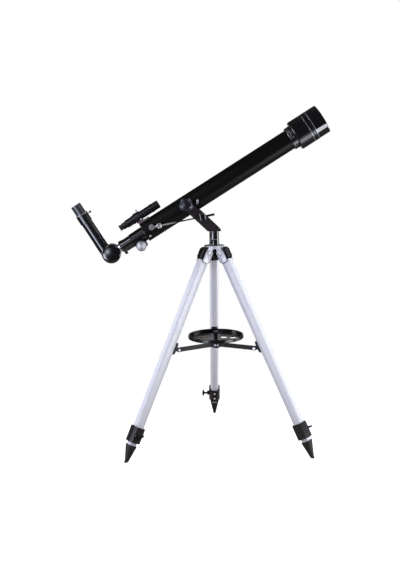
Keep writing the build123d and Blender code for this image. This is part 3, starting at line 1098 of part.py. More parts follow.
# Black cap on the rod's free end
with BuildPart() as rod_end_cap:
    cap_start = ROD_END - ROD_CAP_LENGTH
    cap_outline = (
        (cap_start, ROD_RADIUS),
        (cap_start, ROD_CAP_RADIUS - FINE_EDGE),
        (cap_start + FINE_EDGE, ROD_CAP_RADIUS),
        (ROD_END - FINE_EDGE, ROD_CAP_RADIUS),
        (ROD_END, ROD_CAP_RADIUS - FINE_EDGE),
        (ROD_END, 0),
        (ROD_END - EDGE, 0),
        (ROD_END - EDGE, ROD_RADIUS),
    )
    turn(ROD, cap_outline)
keep(rod_end_cap, "rod_end_cap")

# Fork on the near yoke arm: a pivot, a base and two slotted ears that the rod passes through
BASE_BACK = REST_GAP + YOKE_OUTER_Y - ROD_DEPTH
BASE_FRONT = BASE_BACK + FORK_BASE_THICKNESS
EAR_FRONT = WHEEL_RADIUS + SLIDE_GAP
with BuildPart() as rod_fork:
    post(FORK, (0, 0), ROD_PIN_RADIUS, YOKE_GAP / 2 - ROD_DEPTH, BASE_BACK)
    ear_reach = FORK_HALF_GAP + FORK_EAR_THICKNESS
    base = rectangle(-ear_reach, -FORK_EAR_HALF_HEIGHT, ear_reach, FORK_EAR_HALF_HEIGHT)
    prism(FORK, base, BASE_BACK, BASE_FRONT)
    for low, high in ((FORK_HALF_GAP, ear_reach), (-ear_reach, -FORK_HALF_GAP)):
        ear = rectangle(low, -FORK_EAR_HALF_HEIGHT, high, FORK_EAR_HALF_HEIGHT)
        prism(FORK, ear, BASE_BACK, EAR_FRONT)
    rod_room = ROD_RADIUS + ROD_SIDE_PLAY
    slot = rectangle(-ear_reach, -rod_room, ear_reach, rod_room)
    slot_half = ROD_CAP_RADIUS + SLIDE_GAP
    prism(FORK, slot, -slot_half, slot_half, Mode.SUBTRACT)
keep(rod_fork, "rod_fork")

# Knurled wheel between the fork's ears
with BuildPart() as rod_wheel:
    wheel_half = FORK_HALF_GAP - WHEEL_END_GAP
    wheel_outline = (
        (-wheel_half, rod_room),
        (-wheel_half, WHEEL_RADIUS - FINE_EDGE),
        (-wheel_half + FINE_EDGE, WHEEL_RADIUS),
        (wheel_half - FINE_EDGE, WHEEL_RADIUS),
        (wheel_half, WHEEL_RADIUS - FINE_EDGE),
        (wheel_half, rod_room),
    )
    turn(FORK, wheel_outline)
keep(rod_wheel, "rod_wheel")
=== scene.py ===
import json
from math import atan2, cos, pi, radians, sin, tau

import bmesh
import bpy
from mathutils import Matrix, Vector


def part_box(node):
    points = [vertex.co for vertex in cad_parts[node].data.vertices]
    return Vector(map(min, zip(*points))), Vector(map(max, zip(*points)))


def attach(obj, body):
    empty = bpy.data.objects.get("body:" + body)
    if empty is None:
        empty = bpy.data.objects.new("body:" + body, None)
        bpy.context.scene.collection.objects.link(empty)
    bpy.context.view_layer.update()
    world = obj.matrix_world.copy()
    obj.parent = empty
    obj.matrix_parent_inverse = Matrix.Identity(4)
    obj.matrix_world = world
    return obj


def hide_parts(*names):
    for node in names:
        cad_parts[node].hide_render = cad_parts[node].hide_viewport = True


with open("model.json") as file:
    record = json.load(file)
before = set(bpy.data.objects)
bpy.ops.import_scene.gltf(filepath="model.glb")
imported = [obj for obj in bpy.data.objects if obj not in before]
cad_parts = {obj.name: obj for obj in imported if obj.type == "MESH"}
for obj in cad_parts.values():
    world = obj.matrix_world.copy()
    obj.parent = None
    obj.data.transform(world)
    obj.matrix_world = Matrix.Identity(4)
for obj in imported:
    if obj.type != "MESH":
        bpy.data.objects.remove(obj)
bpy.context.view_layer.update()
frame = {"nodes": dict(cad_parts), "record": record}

# Places shared with the model: vectors in metres, angles in degrees, the tube's drop in millimetres
MM = 0.001
TUBE_ELEVATION = 31.4
DIAGONAL_BEND = 90.0
TUBE_DROP = 4.6
ALTITUDE = Vector((-0.078, 0.0, 0.710))
TILT = radians(TUBE_ELEVATION)
TUBE_AXIS = Vector((cos(TILT), 0, sin(TILT)))
TUBE_UP = Vector((-sin(TILT), 0, cos(TILT)))
NEAR = Vector((0, -1, 0))
EYE_TILT = radians(TUBE_ELEVATION + DIAGONAL_BEND)
EYE_AXIS = Vector((cos(EYE_TILT), 0, sin(EYE_TILT)))
LEG_AZIMUTHS = {"a": 90.0, "b": 210.0, "c": 330.0}


def on_tube(along, up=0.0, near=0.0):
    """A point given in millimetres along, above and to the near side of the tube's axis."""
    return ALTITUDE + (TUBE_AXIS * along + TUBE_UP * (up - TUBE_DROP) + NEAR * near) * MM


# Shader building

SEAM_HALF = 0.0005


class Field:
    """A shader value that takes part in ordinary arithmetic."""

    def __init__(self, graph, socket):
        self.graph = graph
        self.socket = socket

    def math(self, operation, *others):
        """A math node with this value first and the others after it."""
        return self.graph.node("ShaderNodeMath", inputs=[self, *others], operation=operation)

    def __add__(self, other):
        return self.math("ADD", other)

    def __radd__(self, other):
        return self.math("ADD", other)

    def __sub__(self, other):
        return self.math("SUBTRACT", other)

    def __rsub__(self, other):
        return self.graph.node("ShaderNodeMath", inputs=[other, self], operation="SUBTRACT")

    def __mul__(self, other):
        return self.math("MULTIPLY", other)

    def __rmul__(self, other):
        return self.math("MULTIPLY", other)

    def __truediv__(self, other):
        return self.math("DIVIDE", other)

    def __rtruediv__(self, other):
        return self.graph.node("ShaderNodeMath", inputs=[other, self], operation="DIVIDE")

    def ramp(self, low, high, start=0.0, end=1.0):
        """Map this value from low..high to start..end, clamped."""
        return self.graph.node("ShaderNodeMapRange", inputs=[self, low, high, start, end])


class Graph:
    """One material's node tree, round a single surface shader."""

    def __init__(self, name):
        self.material = bpy.data.materials.new(name)
        self.material.use_nodes = True
        self.tree = self.material.node_tree
        self.shader = self.tree.nodes["Principled BSDF"]

    def node(self, kind, output=0, inputs=(), named=None, **settings):
        """Add a node, feed its inputs by place or by name, and return one of its outputs."""
        made = self.tree.nodes.new(kind)
        for key, value in settings.items():
            setattr(made, key, value)
        for place, value in enumerate(inputs):
            self.feed(made.inputs[place], value)
        for key, value in (named or {}).items():
            self.feed(made.inputs[key], value)
        return Field(self, made.outputs[output])

    def feed(self, socket, value):
        """Link a field to a socket, or set the socket to a constant."""
        if isinstance(value, Field):
            self.tree.links.new(value.socket, socket)
        elif value is not None:
            socket.default_value = value

    def set(self, **values):
        """Set the surface shader's inputs by name, with underscores for spaces."""
        for key, value in values.items():
            self.feed(self.shader.inputs[key.replace("_", " ").title().replace("Ior", "IOR")], value)

    def place(self, scale=(1, 1, 1), turn=(0, 0, 0)):
        """Object coordinates, turned and scaled."""
        coords = self.node("ShaderNodeTexCoord", output="Object")
        return self.node("ShaderNodeMapping", named={"Vector": coords, "Scale": scale, "Rotation": turn})

    def noise(self, scale, detail=4.0, rough=0.5, vector=None):
        """A noise value near one half."""
        named = {"Scale": scale, "Detail": detail, "Roughness": rough, "Vector": vector or self.place()}
        return self.node("ShaderNodeTexNoise", named=named)

    def from_point(self, centre):
        """Object coordinates measured from a point."""
        return self.node("ShaderNodeVectorMath", inputs=[self.place(), tuple(centre)], operation="SUBTRACT")

    def part(self, vector, letter):
        """One part of a vector: X, Y or Z."""
        return self.node("ShaderNodeSeparateXYZ", output=letter, inputs=[vector])

    def length(self, vector):
        """A vector's length."""
        return self.node("ShaderNodeVectorMath", output="Value", inputs=[vector], operation="LENGTH")

    def past(self, seam, axis):
        """0 before a seam and 1 past it, going along an axis."""
        ends = [self.from_point(seam), tuple(axis)]
        along = self.node("ShaderNodeVectorMath", output="Value", inputs=ends, operation="DOT_PRODUCT")
        return along.ramp(-SEAM_HALF, SEAM_HALF)

    def blend(self, factor, first, second):
        """Mix two colours by a factor."""
        made = self.tree.nodes.new("ShaderNodeMix")
        made.data_type = "RGBA"
        self.feed(made.inputs["Factor"], factor)
        self.feed(made.inputs[6], first)
        self.feed(made.inputs[7], second)
        return Field(self, made.outputs[2])

    def bump(self, height, strength, distance):
        """Roughen the surface by a height field."""
        named = {"Height": height, "Strength": strength, "Distance": distance}
        self.feed(self.shader.inputs["Normal"], self.node("ShaderNodeBump", named=named))


def colour(*rgb):
    """A colour with full alpha."""
    return (*rgb, 1.0)


def scaled(shade, share):
    """A shade made deeper or lighter, with full alpha."""
    return colour(*(min(1.0, value * share) for value in shade))


# Shares of its own shade that a finish strays to
BLACK_DEEP = 0.75
BLACK_LIGHT = 1.35
DUST_LIFT = 0.004
METAL_MARK = 0.6
LEG_DEEP = 0.9
# Darker colour for the legs' painted shade low down, also used for their scuffs
LEG_SHADE_AND_SCUFF = 0.6
# Colour between the knob face's two painted reflection fans
FACE_BETWEEN_FANS = 0.4
FACE_EDGE = 0.2

# Scales of the patterns in the finishes
PAINT_CLOUD = 9.0
PAINT_DUST = 140.0
METAL_STREAK = 420.0
METAL_CLOUD = 7.0
METAL_MARKS = 85.0
LEG_LINES = 300.0
LEG_CLOUD = 5.0
LEG_SCUFF = 60.0
FACE_CLOUD = 60.0
ROD_CLOUD = 120.0
GLASS_CLOUD = 30.0

# Measures on the pieces whose finish changes from place to place, in metres
# Heights where the legs' painted shade is full and where it is gone
LEG_SHADE_FULL_BELOW = 0.05
LEG_SHADE_GONE_ABOVE = 0.5
FACE_RING_PITCH = 0.0006
FACE_RIM_START = 0.0122
FACE_RIM_END = 0.0128
# Reach of the rod's painted highlight and of its painted shade, from the eye
ROD_HIGHLIGHT_END = 0.030
ROD_HIGHLIGHT_FADE = 0.032
ROD_SHADE_START = 0.060
ROD_SHADE_FULL = 0.075
TINY = 1e-9


def black_finish(name, shade, rough, coat=0.0, grain=900.0, grain_depth=0.00004, drift=0.06, shine=0.5):
    """A black paint or plastic with cloudy tone, faint dust, uneven sheen and a fine grain."""
    graph = Graph(name)
    cloud = graph.noise(PAINT_CLOUD, 3.0)
    dust = graph.noise(PAINT_DUST, 5.0, 0.65).ramp(0.6, 0.85)
    deep = scaled(shade, BLACK_DEEP)
    light = scaled(shade, BLACK_LIGHT)
    dusty = colour(*(value + DUST_LIFT for value in shade))
    tone = graph.blend(cloud.ramp(0.35, 0.65), deep, light)
    graph.set(base_color=graph.blend(dust * 0.3, tone, dusty))
    graph.set(roughness=rough + (cloud - 0.5) * drift * 2 + dust * 0.08)
    graph.set(coat_weight=coat, coat_roughness=0.04, specular_ior_level=shine)
    graph.bump(graph.noise(grain, 2.0), 0.1, grain_depth)
    return graph


def metal_finish(name, shade, rough, stretch, metallic=1.0, contrast=0.14, grain_depth=0.000005):
    """A metal with streaks along one direction, small marks and a cloudy sheen."""
    graph = Graph(name)
    streak = graph.noise(METAL_STREAK, 3.0, 0.6, graph.place(scale=stretch))
    cloud = graph.noise(METAL_CLOUD, 2.0)
    marks = graph.noise(METAL_MARKS, 6.0, 0.7).ramp(0.62, 0.8)
    deep = scaled(shade, 1 - contrast)
    light = scaled(shade, 1 + contrast * 0.5)
    tone = graph.blend(streak.ramp(0.3, 0.7), deep, light)
    dull = scaled(shade, METAL_MARK)
    graph.set(base_color=graph.blend(marks * 0.12, tone, dull), metallic=metallic)
    graph.set(roughness=rough + (streak - 0.5) * 0.16 + (cloud - 0.5) * 0.12)
    graph.bump(streak, 0.2, grain_depth)
    return graph


def leg_finish(name, shade):
    """Satin anodised aluminium with fine drawing lines, scuffs, and a lower end painted darker as shade."""
    graph = Graph(name)
    lines = graph.noise(LEG_LINES, 3.0, 0.6, graph.place(scale=(1.0, 1.0, 0.03)))
    cloud = graph.noise(LEG_CLOUD, 2.0)
    scuff = graph.noise(LEG_SCUFF, 6.0, 0.7).ramp(0.63, 0.8)
    # Painted shade: the legs darken towards the floor
    low = graph.part(graph.place(), "Z").ramp(LEG_SHADE_FULL_BELOW, LEG_SHADE_GONE_ABOVE, 1.0, 0.0)
    deep = scaled(shade, LEG_DEEP)
    low_shade_and_scuff = scaled(shade, LEG_SHADE_AND_SCUFF)
    tone = graph.blend(lines.ramp(0.3, 0.7), deep, colour(*shade))
    tone = graph.blend(low * 0.6, tone, low_shade_and_scuff)
    graph.set(base_color=graph.blend(scuff * 0.2, tone, low_shade_and_scuff), metallic=0.05)
    graph.set(roughness=0.42 + (lines - 0.5) * 0.12 + (cloud - 0.5) * 0.1)
    graph.bump(lines, 0.1, 0.00001)
    return graph


def painted_fan_finish(name, shade, centre):
    """Metal turned on a lathe: fine rings, and two fans of painted reflection across its face, darker
    between them, inside a darker rim.
    """
    graph = Graph(name)
    spot = graph.from_point(centre)
    x = graph.part(spot, "X")
    z = graph.part(spot, "Z")
    reach = (x * x + z * z).math("SQRT")
    # Painted reflection: two bright fans left and right of the centre, darker above and below
    painted_fan = x * x / (reach * reach + TINY)
    rings = (reach * (tau / FACE_RING_PITCH)).math("SINE")
    cloud = graph.noise(FACE_CLOUD, 3.0)
    tone = graph.blend(painted_fan.ramp(0.10, 0.65), scaled(shade, FACE_BETWEEN_FANS), colour(*shade))
    rim = reach.ramp(FACE_RIM_START, FACE_RIM_END)
    graph.set(base_color=graph.blend(rim * 0.85, tone, scaled(shade, FACE_EDGE)), metallic=0.3)
    graph.set(roughness=0.36 + rings * 0.03 + (cloud - 0.5) * 0.1)
    graph.bump(rings, 0.1, 0.000002)
    return graph


def rod_painted_light_finish(name, bright, dark, black, centre):
    """Steel painted lighter round its eye as a highlight, darker along the rod, and black towards its end
    as painted shade.
    """
    graph = metal_finish(name, bright, 0.2, (1, 1, 1))
    reach = graph.length(graph.from_point(centre))
    cloud = graph.noise(ROD_CLOUD, 3.0) - 0.5
    far = reach.ramp(ROD_HIGHLIGHT_END, ROD_HIGHLIGHT_FADE)
    end = reach.ramp(ROD_SHADE_START, ROD_SHADE_FULL)
    # Painted highlight near the eye, fading into the rod's darker tone
    tone = graph.blend(far + cloud * 0.1, colour(*bright), colour(*dark))
    # Painted shade: the far end of the rod turns black
    graph.set(base_color=graph.blend(end, tone, colour(*black)))
    graph.set(metallic=far.ramp(0, 1, 0.75, 0.55))
    return graph


def dew_finish(name, shade, seam):
    """Glossy ahead of a seam along the tube, satin behind it."""
    graph = black_finish(name, shade, 0.10, 1.0, 400.0, 0.000003, 0.03)
    front = graph.past(seam, TUBE_AXIS)
    cloud = graph.noise(PAINT_CLOUD, 3.0) - 0.5
    graph.set(coat_weight=front, roughness=front.ramp(0, 1, 0.30, 0.10) + cloud * 0.06)
    return graph


def painted_sheen_finish(name, shade, sheen_shade, seam):
    """Black above a seam over the tube, and a paler pinkish colour below it as painted reflection."""
    graph = black_finish(name, shade, 0.32, 0.0, 900.0, 0.000003)
    # Painted reflection: the part below the seam is paler
    sheen_mask = 1.0 - graph.past(seam, TUBE_UP)
    cloud = graph.noise(FACE_CLOUD, 3.0) - 0.5
    graph.set(base_color=graph.blend(sheen_mask + cloud * 0.1, colour(*shade), colour(*sheen_shade)))
    return graph


def glass_finish(name, tint, glow):
    """Dark coated glass with a coloured sheen that drifts over its face."""
    graph = Graph(name)
    cloud = graph.noise(GLASS_CLOUD, 3.0)
    rim = graph.node("ShaderNodeLayerWeight", output="Facing", inputs=[0.4])
    graph.set(base_color=graph.blend(rim * 0.6 + cloud * 0.2, colour(*tint), colour(*glow)))
    graph.set(roughness=0.03 + cloud * 0.04, coat_weight=0.6, coat_roughness=0.02)
    graph.set(alpha=0.9)
    return graph


MATERIALS = {
    "satin_aluminium": leg_finish("leg_metal", (0.90, 0.90, 0.96)),
    "cast_silver": metal_finish("cast_silver", (0.72, 0.72, 0.77), 0.4, (1, 1, 1), metallic=0.3),
    "bright_steel": metal_finish("bright_steel", (0.80, 0.79, 0.82), 0.28, (1, 1, 0.2), metallic=0.5),
    "black_plastic": black_finish("black_plastic", (0.003, 0.0027, 0.003), 0.26, 0.0, 900.0, 0.000003),
    "gloss_black_plastic": black_finish(
        "gloss_black", (0.003, 0.003, 0.004), 0.10, 1.0, 400.0, 0.000003, 0.03, 0.9
    ),
    "black_paint": black_finish(
        "black_paint", (0.0022, 0.0016, 0.0016), 0.42, 0.0, 1400.0, 0.000002, 0.04, 0.18
    ),
    "dark_sheet": black_finish("dark_sheet", (0.006, 0.005, 0.006), 0.42, 0.0, 1100.0, 0.00001, 0.06, 0.25),
    "chrome_plate": metal_finish("chrome_plate", (0.86, 0.86, 0.88), 0.07, (1, 1, 1), contrast=0.05),
    "turned_aluminium": metal_finish("turned_aluminium", (0.84, 0.84, 0.88), 0.3, (1, 1, 1), 0.45, 0.06),
    "brass_gear": metal_finish("brass_gear", (0.62, 0.45, 0.18), 0.3, (1, 1, 1)),
    "rubber_black": black_finish("rubber_black", (0.006, 0.005, 0.004), 0.6, 0.0, 1600.0, 0.0001),
    "lens_glass": glass_finish("lens_glass", (0.02, 0.03, 0.05), (0.10, 0.07, 0.20)),
    "mirror_face": metal_finish("mirror_face", (0.9, 0.9, 0.92), 0.04, (1, 1, 1), contrast=0.03),
}
YOKE_PAINT = black_finish("yoke_paint", (0.022, 0.017, 0.019), 0.44, 0.0, 1100.0, 0.000005, shine=0.2)
TRIM_METAL = metal_finish("trim_metal", (0.30, 0.30, 0.33), 0.3, (1, 1, 1), metallic=0.5, contrast=0.05)
DARK_CHROME = metal_finish("dark_chrome", (0.06, 0.06, 0.075), 0.30, (1, 1, 1), contrast=0.05)
DOME_BLACK = black_finish("dome_black", (0.007, 0.007, 0.011), 0.24, 0.0, 400.0, 0.000003, 0.03, 0.8)
PINION = on_tube(-170.0, -26.0)
# Focus knob face with two fans of painted reflection in its colour
KNOB_PAINTED_FANS = painted_fan_finish("knob_painted_fans", (0.97, 0.97, 1.0), PINION)
ROD_PIVOT = sum((Vector(corner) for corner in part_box("rod_pivot")), Vector()) / 2
# Slow-motion rod with a painted highlight round its eye and painted shade towards its end
ROD_LIT_AND_SHADED = rod_painted_light_finish(
    "rod_painted_light", (0.85, 0.85, 0.88), (0.66, 0.63, 0.62), (0.02, 0.018, 0.018), ROD_PIVOT
)
TRIM_PLACES = {"rear": 401.6, "front": 415.7}
DEW_BLACK = dew_finish("dew_black", (0.003, 0.003, 0.004), on_tube(TRIM_PLACES["front"]))
SATIN_TUBE = black_finish("satin_tube", (0.003, 0.003, 0.005), 0.18, 0.0, 900.0, 0.000003, 0.04, 1.0)
EYE_RUBBER = black_finish("eye_rubber", (0.014, 0.014, 0.020), 0.32, 0.0, 900.0, 0.000003, 0.05, 1.0)
PIVOT_STEEL = metal_finish("pivot_steel", (0.62, 0.60, 0.62), 0.25, (1, 1, 1), metallic=0.9)
BRACKET_AT = -131.0
BRACKET_SEAM = on_tube(BRACKET_AT, 37.0)
# Finder bracket: black ring, its foot painted paler as a reflection
BRACKET_PAINTED_SHEEN = painted_sheen_finish("bracket_painted_sheen", (0.006, 0.005, 0.006), (0.20, 0.15, 0.15), BRACKET_SEAM)
NODE_FINISH = {
    "yoke": YOKE_PAINT,
    "altitude_washers": DARK_CHROME,
    "slow_motion_rod": ROD_LIT_AND_SHADED,
    "spindle": MATERIALS["gloss_black_plastic"],
    "dew_shield": DEW_BLACK,
    "drawtube": SATIN_TUBE,
    "barlow_tube": SATIN_TUBE,
    "diagonal_body": SATIN_TUBE,
    "finder_bracket": BRACKET_PAINTED_SHEEN,
    "rod_pivot": PIVOT_STEEL,
    "eyepiece_body": EYE_RUBBER,
    "lens_cell": DOME_BLACK,
}

EDGE_WIDTH = 0.0004
EDGE_ANGLE = radians(35)
SLOT_OF = {entry["node"]: entry["material_slot"] for entry in frame["record"]["subparts"]}
for name, piece in frame["nodes"].items():
    piece.data.materials.clear()
    finish = NODE_FINISH.get(name, MATERIALS[SLOT_OF[name]])
    piece.data.materials.append(finish.material)
    piece.data.shade_smooth()
    bevel = piece.modifiers.new("edges", "BEVEL")
    bevel.width = EDGE_WIDTH
    bevel.segments = 2
    bevel.limit_method = "ANGLE"
    bevel.angle_limit = EDGE_ANGLE
    bevel.harden_normals = True

# Pieces modelled here

SHARP_ANGLE = radians(32)
WELD_DISTANCE = 1e-6


def add_piece(name, bm, body, slot, material=None, replaces=()):
    """Turn a mesh in progress into a piece that rides a body."""
    bmesh.ops.remove_doubles(bm, verts=bm.verts, dist=WELD_DISTANCE)
    bmesh.ops.recalc_face_normals(bm, faces=bm.faces)
    mesh = bpy.data.meshes.new(name)
    bm.to_mesh(mesh)
    bm.free()
    mesh.shade_smooth()
    mesh.set_sharp_from_angle(angle=SHARP_ANGLE)
    piece = bpy.data.objects.new(name, mesh)
    bpy.context.scene.collection.objects.link(piece)
    mesh.materials.append((material or MATERIALS[slot]).material)
    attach(piece, body)
    if replaces:
        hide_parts(*replaces)
    return piece


def side_of(axis):
    """A unit vector square to an axis."""
    helper = Vector((0, 1, 0)) if abs(axis.y) < 0.9 else Vector((1, 0, 0))
    return axis.cross(helper).normalized()


def spin_into(bm, origin, axis, profile, steps=64, flutes=None):
    """Spin a profile of (along, radius) points, in millimetres, about an axis.

    flutes is (count, depth, low, high, least radius): the rim between low and high is cut
    into that many shallow grooves.
    """
    side = side_of(axis)
    cross = axis.cross(side)
    before = set(bm.verts)
    line = [bm.verts.new(origin + (axis * along + side * radius) * MM) for along, radius in profile]
    edges = [bm.edges.new(pair) for pair in zip(line, line[1:])]
    bmesh.ops.spin(bm, geom=line + edges, cent=origin, axis=axis, angle=tau, steps=steps, use_merge=True)
    if not flutes:
        return
    count, depth, low, high, least = flutes
    for vert in bm.verts:
        out = vert.co - origin
        along = out.dot(axis) / MM
        flat = out - axis * out.dot(axis)
        if vert not in before and low <= along <= high and flat.length >= least * MM:
            angle = atan2(flat.dot(cross), flat.dot(side))
            vert.co -= flat.normalized() * depth * MM * (0.5 - 0.5 * cos(count * angle))


def spun_piece(name, body, slot, origin, axis, profile, steps=64, flutes=None, replaces=(), material=None):
    """A piece made by one spin."""
    bm = bmesh.new()
    spin_into(bm, origin, axis, profile, steps, flutes)
    return add_piece(name, bm, body, slot, material, replaces)


def slab_into(bm, origin, x_axis, y_axis, outline, low, high, bevel=0.0, segments=2):
    """Extrude an outline of (x, y) points, in millimetres, square to its plane, and round its edges."""
    normal = x_axis.cross(y_axis)
    verts = [bm.verts.new(origin + (x_axis * x + y_axis * y + normal * low) * MM) for x, y in outline]
    face = bm.faces.new(verts)
    grown = bmesh.ops.extrude_face_region(bm, geom=[face])["geom"]
    tops = [item for item in grown if isinstance(item, bmesh.types.BMVert)]
    bmesh.ops.translate(bm, verts=tops, vec=normal * (high - low) * MM)
    if bevel:
        made = set(verts) | set(tops)
        edges = [edge for edge in bm.edges if edge.verts[0] in made and edge.verts[1] in made]
        bmesh.ops.bevel(
            bm, geom=edges, offset=bevel * MM, affect="EDGES", segments=segments, profile=0.5, material=-1
        )


def box_outline(x_half, y_half):
    """A rectangle about the origin."""
    return [(-x_half, -y_half), (x_half, -y_half), (x_half, y_half), (-x_half, y_half)]


def dome(low, high, radius, edge=0.25, points=6):
    """The profile of a low domed head on its axis, from its flat back to its crown."""
    rise = high - low
    curve = [(low, 0.0), (low, radius), (low + rise * edge, radius)]
    for step in range(1, points + 1):
        angle = pi / 2 * step / points
        curve.append((low + rise * (edge + (1 - edge) * sin(angle)), radius * cos(angle)))
    return curve


# Silver trim rings on the dew shield
DEW_RADIUS = 43.0
TRIM_RING = [(-0.8, -0.3), (-0.8, 0.1), (-0.5, 0.3), (0.5, 0.3), (0.8, 0.1), (0.8, -0.3), (-0.8, -0.3)]
for end, along in TRIM_PLACES.items():
    profile = [(along + x, DEW_RADIUS + out) for x, out in TRIM_RING]
    spun_piece(
        f"trim_ring_{end}", "tube", "bright_steel", on_tube(0), TUBE_AXIS, profile, 128, material=TRIM_METAL
    )

# Rounded beads turned on the lens cell, ahead of the tube's end
CELL_RADIUS = 33.0
BEAD_HALF = 1.5
BEAD_RISE = 0.9
BEAD_SINK = 0.3
BEAD_STEPS = 8
BEAD_PLACES = (346.0, 350.6, 355.2)
bm = bmesh.new()
for along in BEAD_PLACES:
    bead = [(along - BEAD_HALF, CELL_RADIUS - BEAD_SINK)]
    for step in range(BEAD_STEPS + 1):
        angle = pi * step / BEAD_STEPS
        bead.append((along - BEAD_HALF * cos(angle), CELL_RADIUS + BEAD_RISE * sin(angle)))
    bead += [(along + BEAD_HALF, CELL_RADIUS - BEAD_SINK), bead[0]]
    spin_into(bm, on_tube(0), TUBE_AXIS, bead, 112)
add_piece("cell_beads", bm, "tube", "gloss_black_plastic")

# Focus knobs: smooth faces a little domed, a groove inside the rim, and fluted edges
KNOB_PROFILE = [
    (12.3, 0), (12.3, 7.4), (22, 7.4), (22, 13.6), (22.5, 14.5), (23.2, 14.8), (32.8, 14.8), (33.5, 14.5),
    (34, 13.7), (34, 12.9), (33.0, 12.5), (33.0, 12.1), (33.5, 11.6), (33.7, 8), (33.85, 4), (33.9, 0),
]
KNOB_FLUTES = (36, 0.45, 22.8, 33.2, 14.0)
bm = bmesh.new()
for facing in (NEAR, -NEAR):
    spin_into(bm, PINION, facing, KNOB_PROFILE, 108, KNOB_FLUTES)
add_piece("focus_knob_pair", bm, "pinion", "turned_aluminium", KNOB_PAINTED_FANS, ("focus_knobs",))

# Altitude knobs: smooth glossy domes on their screws
DOME_RADIUS = 16.0
DOME_BASE = 48.3
DOME_RISE = 5.0
DOME_STEPS = 10
DOME_STEM = [(29.2, 0), (29.2, 4), (40.8, 4), (40.8, 14.4), (41.3, 15.5), (42.4, DOME_RADIUS)]
for side, facing in (("near", NEAR), ("far", -NEAR)):
    profile = DOME_STEM + [(DOME_BASE, DOME_RADIUS)]
    for step in range(1, DOME_STEPS):
        angle = pi / 2 * step / DOME_STEPS
        profile.append((DOME_BASE + DOME_RISE * sin(angle), DOME_RADIUS * cos(angle)))
    profile.append((DOME_BASE + DOME_RISE, 0))
    spun_piece(
        f"altitude_dome_{side}", f"altitude_lock_{side}", "gloss_black_plastic", ALTITUDE, facing, profile,
        96, replaces=(f"altitude_knob_{side}",), material=DOME_BLACK,
    )

# Thumbscrews with fluted heads on bright stems
EYE_FOOT = on_tube(-267.6)
EYE_RIGHT = Vector((sin(EYE_TILT), 0, -cos(EYE_TILT)))


def thumbscrew(name, body, node, origin, axis, tip, face, radius, height, stem=2.0):
    """A fluted round head, with its bright stem as a piece of its own."""
    soft = 0.1 * height
    top = face + height
    profile = [(face, 0), (face, 0.8 * radius), (face + soft, radius), (top - 1.5 * soft, radius)]
    profile += [(top - 0.5 * soft, 0.92 * radius), (top, 0.75 * radius), (top, 0)]
    flutes = (16, 0.1 * radius, face + 0.5 * soft, top - soft, 0.9 * radius)
    spun_piece(name, body, "black_plastic", origin, axis, profile, 80, flutes, replaces=(node,))
    shank = [(tip, 0), (tip, stem), (face, stem), (face, 0)]
    spun_piece(name + "_stem", body, "bright_steel", origin, axis, shank, 24)


SCREW_TIP = 12.55
draw_seat = on_tube(-219.5)
barlow_seat = EYE_FOOT + EYE_AXIS * 133.0 * MM
thumbscrew(
    "drawtube_screw", "draw_lock", "drawtube_thumbscrew", draw_seat, -TUBE_UP, SCREW_TIP, 18.0, 4.5, 7.0
)
thumbscrew(
    "barlow_screw", "barlow_lock", "barlow_thumbscrew", barlow_seat, EYE_RIGHT, SCREW_TIP, 23.4, 3.0, 4.5
)

# Tripod details, made once for each leg
SPLAY = radians(26.1)
PIVOT_RADIUS = 27.0
PIVOT_HEIGHT = 572.0
BRACKET_ALONG = 288.6
BRACKET_OUT = -30.5
LIP_OUT = 9.0
LIP_HALF = 0.8
LIP_OUTLINE = [
    (-18.0, -13.2), (-17.0, -17.5), (-12.0, -19.5), (12.0, -19.5), (17.0, -17.5), (18.0, -13.2),
]
ARM_HEIGHT = 299.41
HUB_PIN_CIRCLE = 10.5
RIVET_ALONGS = (542.0, 562.0)
CHEEK_PLATE = [(-5.0, -13.0), (25.6, -12.5), (31.0, -5.4), (29.6, 9.9), (0.4, 9.9), (-5.0, 6.0)]
# Outline of the dark sheet under each plate, a painted shadow round its edge
CHEEK_SHADE_OUTLINE = [(-4.0, -13.0), (26.4, -14.0), (32.8, -6.0), (31.2, 11.6), (-0.4, 11.6), (-4.0, 8.0)]
PLATE_INNER = 15.2
PLATE_OUTER = 15.9
LEG_RIVETS = ((31.0, -3.4), (31.0, 3.4), (44.5, 0.0))
BOLT_SHANK = [(-16, 0), (-16, 2.95), (16, 2.95), (16, 0)]
BOLT_NUT = [
    (15.65, 0), (15.65, 4.7), (15.95, 5), (18.2, 5), (18.6, 4.6), (18.6, 3.0), (19.15, 2.6), (19.15, 0),
]
BRACKET_NUT = [(6.1, 0), (6.1, 4.3), (8.3, 4.3), (8.7, 3.8), (8.7, 0)]
FACE_RIBS = (-1.0, 4.0, 9.0, 14.0, 19.0)
FACE_RIB_OUT = 18.5
SIDE_RIBS = (2.0, 8.0, 14.0, 20.0)
SIDE_RIB_OUT = 9.6
SIDE_RIB_ACROSS = 12.4
NUT_SIDES = 6
bolt_bm = bmesh.new()
hub_bm = bmesh.new()
